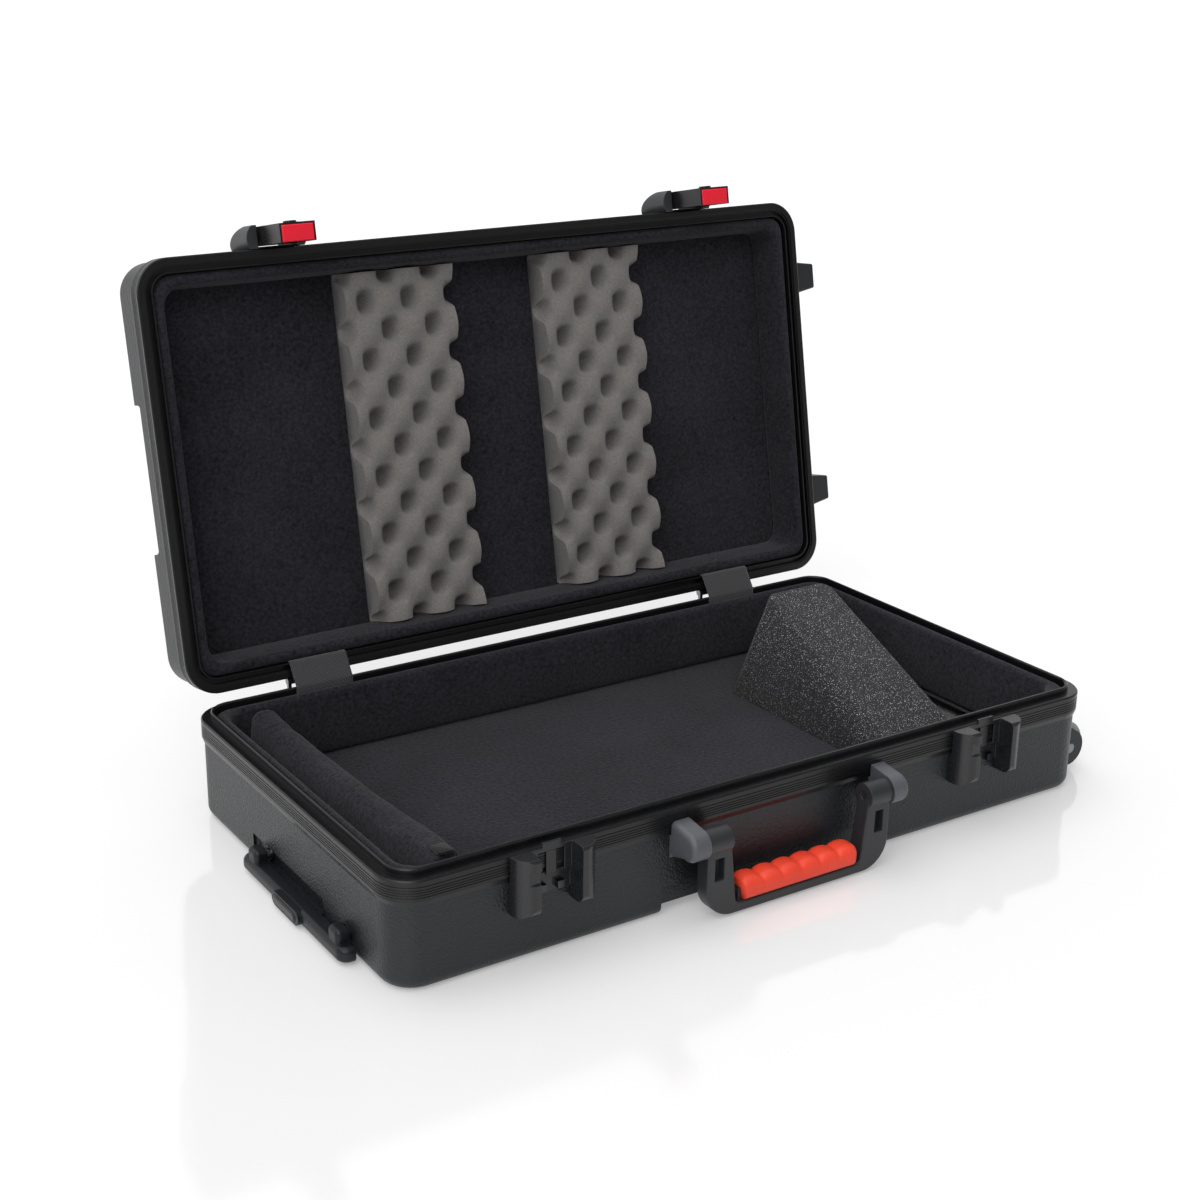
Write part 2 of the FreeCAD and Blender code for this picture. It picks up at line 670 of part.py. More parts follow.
def foam_wedge():
    """Loose foam wedge lying on the padded floor, low at the front."""
    front = -(HALF_W - BASE_PAD_START - BASE_PAD_FOOT - PAD_GAP) + WEDGE_FROM_FRONT
    back = front + WEDGE_LENGTH

    def section(y, height):
        foot = WEDGE_FOOT / 2
        half = WEDGE_TOP / 2
        top = FLOOR_TOP + height
        corners = [V(WEDGE_X - foot, y, FLOOR_TOP), V(WEDGE_X + foot, y, FLOOR_TOP),
                   V(WEDGE_X + half, y, top), V(WEDGE_X - half, y, top)]
        return Part.makePolygon(corners + corners[:1])

    low = section(front, WEDGE_FRONT)
    high = section(back, WEDGE_BACK)
    wedge = Part.makeLoft([low, high], True, True)
    middle = FLOOR_TOP + WEDGE_BACK / 2
    rising = edges_at(wedge, lambda c: abs(c.y - back) < NEAR and abs(c.z - middle) < NEAR)
    return wedge.makeFillet(WEDGE_CORNER, rising)


def bowed(start, end, rise, normal):
    """An arc between two points that stands out from the straight line by a given rise."""
    out = (end - start).cross(normal).normalize()
    return Part.Arc(start, (start + end) * 0.5 + out * rise, end)


def outline_face(edges):
    """A flat face inside a closed outline of lines and arcs."""
    return Part.Face(Part.Wire([e.toShape() for e in edges]))


def lobe_pair(half_width, depth, z0, z1):
    """Two rounded cheeks beside the latch's channel, standing out from the front."""
    nose = LATCH_SEAT - depth
    root = V(half_width, LATCH_SEAT, z0)
    brow = V(LATCH_CHANNEL + LOBE_FLAT, nose, z0)
    inner_nose = V(LATCH_CHANNEL, nose, z0)
    inner_root = V(LATCH_CHANNEL, LATCH_SEAT, z0)
    section = outline_face([
        Part.LineSegment(inner_root, root),
        bowed(root, brow, LOBE_BULGE, V(0, 0, -1)),
        Part.LineSegment(brow, inner_nose),
        Part.LineSegment(inner_nose, inner_root),
    ])
    lobe = section.extrude(V(0, 0, z1 - z0))
    return [lobe, mirror_x(lobe)]


def catch_lobes(low, top):
    """The catch's cheeks, with their feet cut back and rounded and their noses eased."""
    nose = LATCH_SEAT - CATCH_DEPTH
    trim = outline_face([
        Part.LineSegment(V(0, LATCH_SEAT, low), V(0, nose + CATCH_CUT, low)),
        bowed(V(0, nose + CATCH_CUT, low), V(0, nose, low + CATCH_CUT), CATCH_BULGE, V(-1, 0, 0)),
        Part.LineSegment(V(0, nose, low + CATCH_CUT), V(0, nose, top - CATCH_BROW)),
        Part.LineSegment(V(0, nose, top - CATCH_BROW), V(0, nose + CATCH_BROW, top)),
        Part.LineSegment(V(0, nose + CATCH_BROW, top), V(0, LATCH_SEAT, top)),
        Part.LineSegment(V(0, LATCH_SEAT, top), V(0, LATCH_SEAT, low)),
    ])
    trim.translate(V(-LATCH_HALF_WIDTH, 0, 0))
    side_view = trim.extrude(V(2 * LATCH_HALF_WIDTH, 0, 0))
    return [lobe.common(side_view) for lobe in lobe_pair(LATCH_HALF_WIDTH, CATCH_DEPTH, low, top)]


def latch_catch(x):
    """Receiver on the base: two cheeks, a slotted back plate set in below the rim, a shelf and its tab."""
    top = BASE_HEIGHT - LATCH_PLAY
    low = BASE_HEIGHT - CATCH_HEIGHT
    rim_low = BASE_HEIGHT - RIM_HEIGHT - LATCH_PLAY
    plate_low = POST_LOW - CATCH_PLATE_BELOW
    inset_face = SHELL_SEAT - CATCH_BACK
    rim_face_y = LATCH_SEAT - CATCH_BACK
    channel = LATCH_CHANNEL
    pieces = catch_lobes(low, top)
    for side in (-1, 1):
        x0, x1 = sorted((side * channel, side * LATCH_HALF_WIDTH))
        pieces.append(box(x0, x1, LATCH_SEAT, SHELL_SEAT, low, rim_low))
    pieces.append(box(-channel, channel, inset_face, SHELL_SEAT, plate_low, rim_low))
    pieces.append(box(-channel, channel, rim_face_y, SHELL_SEAT, rim_low - CATCH_LEDGE, rim_low))
    pieces.append(box(-channel, channel, rim_face_y, LATCH_SEAT, rim_low - CATCH_LEDGE, top))
    pieces.append(box(-channel, channel, LATCH_STOP_Y, LATCH_SEAT, top - CATCH_SHELF, top))
    pieces.append(box(-CATCH_TAB_HALF, CATCH_TAB_HALF, LATCH_STOP_Y, LATCH_SEAT,
                      top, top + CATCH_TAB_HEIGHT))
    body = fused(pieces)
    slot_top = top - CATCH_SHELF
    for side in (-1, 1):
        mid = side * POST_X
        body = body.cut(box(mid - CATCH_SLOT / 2, mid + CATCH_SLOT / 2, rim_face_y, inset_face,
                            slot_top - CATCH_SLOT_HEIGHT, slot_top))
    nose = LATCH_SEAT - CATCH_DEPTH
    inset = box(-LATCH_CHANNEL - CATCH_BADGE, -LATCH_CHANNEL, nose - OVERCUT, nose + CATCH_BADGE_DEPTH,
                top - CATCH_BADGE - CATCH_BADGE_DROP, top - CATCH_BADGE_DROP)
    body = body.cut(inset)
    body.translate(V(x, 0, 0))
    return body


def catch_posts():
    """Steel hook posts at the foot of each catch's back plate."""
    posts = []
    foot = SHELL_SEAT - CATCH_BACK
    for x in (-LATCH_X, LATCH_X):
        for side in (-1, 1):
            mid = x + side * POST_X
            posts.append(box(mid - POST_WIDTH / 2, mid + POST_WIDTH / 2, foot - POST_LENGTH, foot,
                             POST_LOW, POST_LOW + POST_HEIGHT))
    return group(posts)


def latch_mount(x):
    """Housing on the lid: two quarter-round cheeks that carry the lever's pin."""
    seat = LATCH_SEAT
    low = BASE_HEIGHT + CLOSED_GAP + LATCH_PLAY
    high = low + MOUNT_LENGTH
    rim_high = BASE_HEIGHT + RIM_HEIGHT + LATCH_PLAY
    brow = V(0, seat - MOUNT_DEPTH, low + MOUNT_UPRIGHT)
    tail = V(0, seat - MOUNT_TAIL, high)
    profile = outline_face([
        Part.LineSegment(V(0, seat, low), V(0, seat - MOUNT_DEPTH, low)),
        Part.LineSegment(V(0, seat - MOUNT_DEPTH, low), brow),
        bowed(brow, tail, MOUNT_BULGE, V(-1, 0, 0)),
        Part.LineSegment(tail, V(0, seat, high)),
        Part.LineSegment(V(0, seat, high), V(0, seat, low)),
    ])
    profile.translate(V(-LATCH_HALF_WIDTH, 0, 0))
    side_view = profile.extrude(V(2 * LATCH_HALF_WIDTH, 0, 0))
    lobes = lobe_pair(MOUNT_HALF_WIDTH, MOUNT_DEPTH, low, high)
    pieces = [lobe.common(side_view) for lobe in lobes]
    plate_low = low + CATCH_TAB_HEIGHT + 2 * LATCH_PLAY
    pieces.append(box(-LATCH_CHANNEL, LATCH_CHANNEL, seat - MOUNT_PLATE, seat, plate_low, high))
    pieces.append(box(-MOUNT_HALF_WIDTH, MOUNT_HALF_WIDTH, seat, SHELL_SEAT, rim_high, high))
    body = fused(pieces)
    body.translate(V(x, 0, 0))
    return body.cut(latch_pin(x, LATCH_PIN_RADIUS))


def latch_pin(x, radius):
    """The pin that the lever turns on."""
    reach = LEVER_HALF_WIDTH + LATCH_PIN_GRIP
    middle = V(x, LATCH_PIVOT_Y, LATCH_PIVOT_Z)
    return rod(radius, middle - V(reach, 0, 0), middle + V(reach, 0, 0))


def latch_lever(x):
    """Hollow box lever that drops over the catch, with a round hub on its pin."""
    hub = rod(LEVER_HUB_RADIUS, V(-LEVER_HALF_WIDTH, LATCH_PIVOT_Y, LATCH_PIVOT_Z),
              V(LEVER_HALF_WIDTH, LATCH_PIVOT_Y, LATCH_PIVOT_Z))
    arm = box(-LEVER_HALF_WIDTH, LEVER_HALF_WIDTH, LEVER_OUT_Y, LEVER_IN_Y, LEVER_END_Z, LATCH_PIVOT_Z)
    inner = LEVER_HALF_WIDTH - LEVER_SKIN
    hollow = box(-inner, inner, LEVER_OUT_Y + LEVER_SKIN, LEVER_IN_Y + OVERCUT, LEVER_END_Z - OVERCUT,
                 LATCH_PIVOT_Z - LEVER_HUB_RADIUS)
    body = fused([hub, arm]).cut(hollow)
    body = body.cut(rod(LOCK_RADIUS + LOCK_PLAY, V(0, LEVER_OUT_Y - OVERCUT, LOCK_Z),
                        V(0, LEVER_OUT_Y + LOCK_BODY, LOCK_Z)))
    body.translate(V(x, 0, 0))
    return body.cut(latch_pin(x, LATCH_PIN_RADIUS + LATCH_PIN_PLAY))


def latch_button(x):
    """Red release button that fills the lever's open end."""
    half = LEVER_HALF_WIDTH - LEVER_SKIN - BUTTON_PLAY
    low = LEVER_END_Z - BUTTON_PROUD
    button = box(x - half, x + half, LEVER_OUT_Y + LEVER_SKIN + BUTTON_PLAY, LEVER_IN_Y - BUTTON_PLAY,
                 low, low + BUTTON_PROUD + BUTTON_PLATE)
    return button.makeChamfer(BUTTON_PROUD, edges_at(button, lambda c: abs(c.z - low) < NEAR))


def lock_plug(x):
    """Round key plug in the lever's outer face."""
    outer = LEVER_OUT_Y - LOCK_PROUD
    plug = rod(LOCK_RADIUS, V(x, outer, LOCK_Z), V(x, LEVER_OUT_Y + LOCK_BODY, LOCK_Z))
    plug = plug.makeFillet(LOCK_PROUD / 2, edges_at(plug, lambda c: abs(c.y - outer) < NEAR))
    keyway = box(x - KEYWAY_WIDTH / 2, x + KEYWAY_WIDTH / 2, outer - OVERCUT, outer + LOCK_PROUD,
                 LOCK_Z - KEYWAY_LENGTH / 2, LOCK_Z + KEYWAY_LENGTH / 2)
    return plug.cut(keyway)


def nose_point(x, degrees):
    """A point on the round nose of a handle lug, counted from straight outwards towards the top."""
    angle = math.radians(degrees)
    return V(x, HANDLE_PIVOT_Y - LUG_NOSE * math.cos(angle), HANDLE_PIVOT_Z + LUG_NOSE * math.sin(angle))


def handle_lug(side):
    """Bracket on the front that carries one end of the carry handle."""
    x0 = BAIL_HALF_WIDTH + LUG_GAP
    x1 = x0 + LUG_WIDTH
    foot = HANDLE_PIVOT_Z - LUG_FOOT_DROP
    low = V(x0, LATCH_SEAT, foot)
    high = V(x0, LATCH_SEAT, HANDLE_PIVOT_Z + LUG_TOP_RISE)
    nose_low = nose_point(x0, LUG_NOSE_LOW)
    nose_high = nose_point(x0, LUG_NOSE_HIGH)
    body = outline_face([
        Part.LineSegment(low, nose_low),
        Part.Arc(nose_low, nose_point(x0, (LUG_NOSE_LOW + LUG_NOSE_HIGH) / 2), nose_high),
        Part.LineSegment(nose_high, high),
        Part.LineSegment(high, low),
    ]).extrude(V(LUG_WIDTH, 0, 0))
    rim = edges_at(body, lambda c: abs(c.x - x1) < NEAR and c.y < LATCH_SEAT - NEAR)
    body = body.makeFillet(LUG_EDGE, rim)
    heel = box(x0, x1, LATCH_SEAT, SHELL_SEAT, foot, BASE_HEIGHT - RIM_HEIGHT - LATCH_PLAY)
    body = fused([body, heel]).cut(handle_pin())
    return body if side > 0 else mirror_x(body)


def handle_pin():
    """Pin of the carry handle at its right end."""
    start = V(BAIL_HALF_WIDTH - BAIL_ARM, HANDLE_PIVOT_Y, HANDLE_PIVOT_Z)
    end = V(BAIL_HALF_WIDTH + LUG_GAP + HANDLE_PIN_DEPTH, HANDLE_PIVOT_Y, HANDLE_PIVOT_Z)
    return rod(HANDLE_PIN_RADIUS, start, end)


def handle_bail():
    """U-shaped carry handle, hanging straight down."""
    out = BAIL_HALF_WIDTH
    y0 = HANDLE_PIVOT_Y - BAIL_THICKNESS / 2
    top = HANDLE_PIVOT_Z
    floor = GRIP_FOOT
    low = BAIL_BOTTOM
    arm = out - BAIL_ARM
    foot = out - BAIL_ARM_FOOT
    outline = [V(-arm, y0, top), V(-out, y0, top), V(-out, y0, low), V(out, y0, low), V(out, y0, top),
               V(arm, y0, top), V(foot, y0, floor), V(-foot, y0, floor)]
    plate = face_of(outline).extrude(V(0, BAIL_THICKNESS, 0))
    for radius, x, z in ((BAIL_CORNER, out, low), (BAIL_INNER_CORNER, foot, floor)):
        bends = edges_at(plate, lambda c: abs(c.z - z) < NEAR and abs(abs(c.x) - x) < NEAR)
        plate = plate.makeFillet(radius, bends)
    faces = (y0, y0 + BAIL_THICKNESS)
    rim = edges_at(plate, lambda c: min(abs(c.y - f) for f in faces) < NEAR and c.z < top - NEAR)
    plate = plate.makeFillet(BAIL_EDGE, rim)
    hubs = [rod(BAIL_HUB_RADIUS, V(s * arm, HANDLE_PIVOT_Y, top), V(s * out, HANDLE_PIVOT_Y, top))
            for s in (-1, 1)]
    core_y = HANDLE_PIVOT_Y - BAIL_CORE_HALF
    core = box(-GRIP_HALF_LENGTH, GRIP_HALF_LENGTH, core_y, core_y + 2 * BAIL_CORE_HALF,
               floor - BAIL_BAND / 2, floor + BAIL_CORE_HEIGHT)
    bail = fused([plate] + hubs + [core])
    slot_top = HANDLE_PIVOT_Z - BAIL_SLOT_DROP
    for s in (-1, 1):
        mid = s * (out - BAIL_ARM / 2)
        bail = bail.cut(box(mid - BAIL_SLOT_WIDTH / 2, mid + BAIL_SLOT_WIDTH / 2, y0 - OVERCUT,
                            y0 + BAIL_SLOT_DEPTH, slot_top - BAIL_SLOT_HEIGHT, slot_top))
    bore = HANDLE_PIN_RADIUS + HANDLE_PIN_PLAY
    line = V(2 * out, HANDLE_PIVOT_Y, HANDLE_PIVOT_Z)
    return bail.cut(rod(bore, V(-line.x, line.y, line.z), line))


def handle_grip():
    """Soft red grip with finger bumps, moulded over the handle's lower bar."""
    spine_z = GRIP_FOOT + GRIP_BAR_RADIUS - GRIP_SINK
    reach = GRIP_HALF_LENGTH - GRIP_PLAY
    pieces = [rod(GRIP_BAR_RADIUS, V(-reach, HANDLE_PIVOT_Y, spine_z), V(reach, HANDLE_PIVOT_Y, spine_z))]
    pitch = (2 * reach - GRIP_BUMP_RADIUS) / GRIP_BUMPS
    for k in range(GRIP_BUMPS):
        x = (k - (GRIP_BUMPS - 1) / 2) * pitch
        pieces.append(Part.makeSphere(GRIP_BUMP_RADIUS, V(x, HANDLE_PIVOT_Y, spine_z)))
    grip = fused(pieces)
    under = box(-HALF_L, HALF_L, HANDLE_PIVOT_Y - BAIL_THICKNESS, HANDLE_PIVOT_Y + BAIL_THICKNESS,
                BAIL_BOTTOM - BAIL_THICKNESS, GRIP_FOOT + GRIP_PLAY)
    half = BAIL_CORE_HALF + GRIP_PLAY
    slot = box(-HALF_L, HALF_L, HANDLE_PIVOT_Y - half, HANDLE_PIVOT_Y + half,
               GRIP_FOOT - OVERCUT, GRIP_FOOT + BAIL_CORE_HEIGHT + GRIP_PLAY)
    return grip.cut(fused([under, slot]))


def trolley_bar():
    """Low grip of the pull-out handle, with an upright lug on each tube and an oval boss for its button."""
    low, high = TROLLEY_BAR_LOW, TROLLEY_BAR_HIGH
    middle = TROLLEY_BAR_MID
    bar = box(TROLLEY_BAR_OUT, TROLLEY_BAR_IN, TROLLEY_Y - TROLLEY_BAR_HALF, TROLLEY_Y + TROLLEY_BAR_HALF,
              low, high)
    ends = edges_at(bar, lambda c: abs(c.x - TROLLEY_BAR_OUT) < NEAR and abs(c.z - middle) < NEAR)
    bar = bar.makeFillet(TROLLEY_BAR_CORNER, ends)
    rim = edges_at(bar, lambda c: abs(abs(c.z - middle) - (high - low) / 2) < NEAR
                   and c.x < TROLLEY_BAR_IN - NEAR)
    bar = bar.makeFillet(TROLLEY_BAR_ROUND, rim)
    face = TROLLEY_BAR_OUT - TROLLEY_BOSS_PROUD
    boss = stadium(TROLLEY_BOSS_LENGTH / 2, TROLLEY_BOSS_HEIGHT / 2, face,
                   TROLLEY_BAR_OUT + TROLLEY_BAR_ROUND, TROLLEY_Y, middle)
    lugs = []
    for y in TUBE_YS:
        lug = box(TROLLEY_BAR_OUT + TROLLEY_LUG_SETBACK, TROLLEY_BAR_IN, y - TROLLEY_LUG_HALF,
                  y + TROLLEY_LUG_HALF, middle, TROLLEY_LUG_HIGH)
        soft = edges_at(lug, lambda c: c.x < TROLLEY_BAR_IN - NEAR and c.z > middle + NEAR)
        lugs.append(lug.makeFillet(TROLLEY_LUG_ROUND, soft))
    bar = fused([bar, boss] + lugs)
    play = TROLLEY_BUTTON_PLAY
    pocket_end = TROLLEY_BAR_OUT + TROLLEY_BUTTON_DEPTH + TROLLEY_BUTTON_TRAVEL + play
    bar = bar.cut(stadium(TROLLEY_BUTTON_LENGTH / 2 + play, TROLLEY_BUTTON_HEIGHT / 2 + play,
                          face - OVERCUT, pocket_end, TROLLEY_Y, middle))
    for y in TUBE_YS:
        bar = bar.cut(rod(TUBE_RADIUS + TUBE_PLAY, V(TROLLEY_BAR_IN - TUBE_SOCKET, y, TROLLEY_TUBE_Z),
                          V(TROLLEY_BAR_IN + OVERCUT, y, TROLLEY_TUBE_Z)))
    return bar


def trolley_button():
    """Domed oval release button in the trolley grip."""
    face = TROLLEY_BAR_OUT - TROLLEY_BOSS_PROUD - TROLLEY_BUTTON_PROUD
    button = stadium(TROLLEY_BUTTON_LENGTH / 2, TROLLEY_BUTTON_HEIGHT / 2, face,
                     TROLLEY_BAR_OUT + TROLLEY_BUTTON_DEPTH, TROLLEY_Y, TROLLEY_BAR_MID)
    return button.makeFillet(TROLLEY_BUTTON_ROUND, edges_at(button, lambda c: abs(c.x - face) < NEAR))


def tube_between(radius, bore, x0, x1, y, z):
    """A straight tube along X."""
    hole = rod(bore, V(x0 - OVERCUT, y, z), V(x1 + OVERCUT, y, z))
    return rod(radius, V(x0, y, z), V(x1, y, z)).cut(hole)


def trolley_tubes():
    """Inner tubes that slide out with the grip."""
    x0 = TROLLEY_BAR_IN - TUBE_SOCKET
    x1 = SLEEVE_END - TUBE_END_GAP
    return group([tube_between(TUBE_RADIUS, TUBE_BORE, x0, x1, y, TROLLEY_TUBE_Z) for y in TUBE_YS])


def wall_x(y):
    """Outer face of the end wall at the trolley end, which is set in between the corner pads."""
    return -SHELL_X + (STRIP_INSET if abs(y) < CHANNEL_HALF_Y else 0)


def trolley_sleeves():
    """Outer tubes fixed inside the base."""
    return group([tube_between(SLEEVE_RADIUS, SLEEVE_BORE, wall_x(y), SLEEVE_END, y, TROLLEY_TUBE_Z)
                  for y in TUBE_YS])


def trolley_bushes():
    """Collars where the tubes leave the end wall."""
    rings = []
    for y in TUBE_YS:
        x = wall_x(y)
        rings.append(tube_between(BUSH_RADIUS, TUBE_RADIUS + SLEEVE_PLAY, x - BUSH_FLANGE, x,
                                  y, TROLLEY_TUBE_Z))
    return group(rings)


def end_block_size(grow):
    """The block of space that the trolley's end block takes up."""
    y0, y1 = TUBE_YS
    over = END_BLOCK_OVER + grow
    return box(SLEEVE_END - END_BLOCK_LENGTH / 2 - grow, SLEEVE_END + END_BLOCK_LENGTH / 2 + grow,
               y0 - over, y1 + over, CHANNEL_DEPTH + SHELL_WALL, TROLLEY_TUBE_Z + SLEEVE_RADIUS + grow)


def trolley_end_block():
    """Cross block on the base's floor that holds the inner ends of the sleeves."""
    block = end_block_size(0)
    for y in TUBE_YS:
        start = V(SLEEVE_END - END_BLOCK_LENGTH, y, TROLLEY_TUBE_Z)
        block = block.cut(rod(SLEEVE_RADIUS + SLEEVE_PLAY, start, V(SLEEVE_END, y, TROLLEY_TUBE_Z)))
    return block


def wheel_housing(side):
    """Bracket in the wheel pocket: a back plate and two rounded cheeks."""
    back = AXLE_X - WHEEL_RADIUS - WELL_PLAY
    half = WHEEL_WIDTH / 2 + CHEEK_GAP
    low, high = AXLE_Z - CHEEK_RADIUS, AXLE_Z + CHEEK_RADIUS
    pieces = [box(back - HOUSING_PLATE, back, -half - CHEEK, half + CHEEK, low, high)]
    for s in (-1, 1):
        y0, y1 = sorted((s * half, s * (half + CHEEK)))
        pieces.append(box(back - HOUSING_PLATE, AXLE_X, y0, y1, low, high))
        pieces.append(rod(CHEEK_RADIUS, V(AXLE_X, y0, AXLE_Z), V(AXLE_X, y1, AXLE_Z)))
    body = fused(pieces)
    body = body.cut(rod(AXLE_RADIUS, V(AXLE_X, -2 * half, AXLE_Z), V(AXLE_X, 2 * half, AXLE_Z)))
    body.translate(V(0, side * WHEEL_Y, 0))
    return body


def wheel_axles():
    """Riveted axles of the two wheels."""
    half = WHEEL_WIDTH / 2 + CHEEK_GAP + CHEEK
    axles = []
    for side in (-1, 1):
        mid = side * WHEEL_Y
        shaft = rod(AXLE_RADIUS, V(AXLE_X, mid - half, AXLE_Z), V(AXLE_X, mid + half, AXLE_Z))
        heads = []
        for s in (-1, 1):
            inner = V(AXLE_X, mid + s * half, AXLE_Z)
            outer = V(AXLE_X, mid + s * (half + AXLE_HEAD), AXLE_Z)
            head = rod(AXLE_HEAD_RADIUS, inner, outer)
            edge = edges_at(head, lambda c: abs(c.y - outer.y) < NEAR)
            heads.append(head.makeFillet(AXLE_HEAD / 2, edge))
        axles.append(fused([shaft] + heads))
    return group(axles)


def wheel_hub(side):
    """Moulded hub with round hollows between its spokes."""
    half = WHEEL_WIDTH / 2
    rim = WHEEL_RADIUS - TYRE_DEPTH
    hub = rod(rim, V(AXLE_X, -half, AXLE_Z), V(AXLE_X, half, AXLE_Z))
    hub = hub.cut(rod(WHEEL_HUB_BORE, V(AXLE_X, -2 * half, AXLE_Z), V(AXLE_X, 2 * half, AXLE_Z)))
    pocket_at = (WHEEL_HUB_BORE + rim) / 2
    pocket_r = (rim - WHEEL_HUB_BORE) / 4
    for k in range(HUB_SPOKES):
        a = 2 * math.pi * k / HUB_SPOKES
        x = AXLE_X + pocket_at * math.cos(a)
        z = AXLE_Z + pocket_at * math.sin(a)
        for s in (-1, 1):
            floor = s * (half - HUB_POCKET_DEPTH)
            hub = hub.cut(rod(pocket_r, V(x, floor, z), V(x, s * (half + OVERCUT), z)))
    hub.translate(V(0, side * WHEEL_Y, 0))
    return hub


def wheel_tyre(side):
    """Soft tyre with rounded shoulders round the hub."""
    half = WHEEL_WIDTH / 2
    tyre = rod(WHEEL_RADIUS, V(AXLE_X, -half, AXLE_Z), V(AXLE_X, half, AXLE_Z))
    tyre = tyre.makeFillet(TYRE_DEPTH / 2, edges_at(tyre, lambda c: abs(abs(c.y) - half) < NEAR))
    rim = WHEEL_RADIUS - TYRE_DEPTH
    tyre = tyre.cut(rod(rim, V(AXLE_X, -2 * half, AXLE_Z), V(AXLE_X, 2 * half, AXLE_Z)))
    tyre.translate(V(0, side * WHEEL_Y, 0))
    return tyre


def lid_foot(side):
    """Block on the lid's end, level with the wheels, that the case stands on when upright."""
    root = HALF_L + LATCH_PLAY
    z0 = BASE_HEIGHT + FOOT_START
    z1 = BASE_HEIGHT + FOOT_END
    tip = FOOT_TIP_INSET

    def section(x, half, low, high):
        return Part.makePolygon([V(x, -half, low), V(x, half, low), V(x, half, high), V(x, -half, high),
                                 V(x, -half, low)])

    block = Part.makeLoft([section(root, FOOT_ROOT_HALF, z0, z1),
                           section(FOOT_OUT, FOOT_TIP_HALF, z0 + tip, z1 - tip)], True, True)
    block = block.makeFillet(FOOT_EDGE, edges_at(block, lambda c: c.x > root + NEAR))
    heel = box(SHELL_X + LATCH_PLAY, root, -FOOT_ROOT_HALF, FOOT_ROOT_HALF,
               BASE_HEIGHT + RIM_HEIGHT + LATCH_PLAY, z1)
    body = fused([block, heel])
    body.translate(V(0, side * FOOT_Y, 0))
    return body


def hinge_pin(x, radius):
    """Hinge pin along X."""
    middle = V(x, HINGE_Y, HINGE_Z)
    return rod(radius, middle - V(HINGE_HALF_WIDTH, 0, 0), middle + V(HINGE_HALF_WIDTH, 0, 0))


def hinge_base_leaf(x):
    """Leaf on the base, with a thin ear at each end of the hinge."""
    y0 = BACK + CLOSED_GAP
    y1 = y0 + HINGE_LEAF
    top = BASE_HEIGHT - HINGE_SIDE_GAP
    pieces = [box(-HINGE_HALF_WIDTH, HINGE_HALF_WIDTH, y0, y1, BASE_HEIGHT - HINGE_LEAF_LENGTH, top)]
    for s in (-1, 1):
        x0, x1 = sorted((s * HINGE_HALF_WIDTH, s * (HINGE_HALF_WIDTH - HINGE_EAR)))
        pieces.append(box(x0, x1, y0, HINGE_Y, top - HINGE_EAR, HINGE_Z))
        pieces.append(rod(HINGE_KNUCKLE_RADIUS, V(x0, HINGE_Y, HINGE_Z), V(x1, HINGE_Y, HINGE_Z)))
    leaf = fused(pieces)
    leaf.translate(V(x, 0, 0))
    return leaf.cut(hinge_pin(x, HINGE_PIN_RADIUS))


def hinge_lid_leaf(x):
    """Leaf on the lid, with one long knuckle between the ears."""
    y0 = BACK + CLOSED_GAP
    reach = HINGE_HALF_WIDTH - HINGE_EAR - HINGE_SIDE_GAP
    plate_low = HINGE_Z + HINGE_KNUCKLE_RADIUS + HINGE_SIDE_GAP
    pieces = [
        rod(HINGE_KNUCKLE_RADIUS, V(-reach, HINGE_Y, HINGE_Z), V(reach, HINGE_Y, HINGE_Z)),
        box(-reach, reach, y0, y0 + HINGE_LEAF, HINGE_Z, plate_low),
        box(-HINGE_HALF_WIDTH, HINGE_HALF_WIDTH, y0, y0 + HINGE_LEAF,
            plate_low, plate_low + HINGE_LEAF_LENGTH),
    ]
    leaf = fused(pieces)
    leaf.translate(V(x, 0, 0))
    return leaf.cut(hinge_pin(x, HINGE_PIN_RADIUS + LATCH_PIN_PLAY))


def rivet_heads(z):
    """Rows of domed rivet heads on the two hinge leaves at one height."""
    y = BACK + CLOSED_GAP + HINGE_LEAF
    heads = []
    for x in (-HINGE_X, HINGE_X):
        for k in (-1, 0, 1):
            place = V(x + k * RIVET_SPACING, y, z)
            head = rod(RIVET_RADIUS, place, place + V(0, RIVET_HEIGHT, 0))
            edge = edges_at(head, lambda c: abs(c.y - y - RIVET_HEIGHT) < NEAR)
            heads.append(head.makeFillet(RIVET_HEIGHT / 2, edge))
    return heads


def opened(shape):
    """Turns a piece of the closed lid about the hinge to its open place."""
    turned = shape.copy()
    turned.rotate(V(0, HINGE_Y, HINGE_Z), V(1, 0, 0), -LID_OPEN_ANGLE)
    return turned


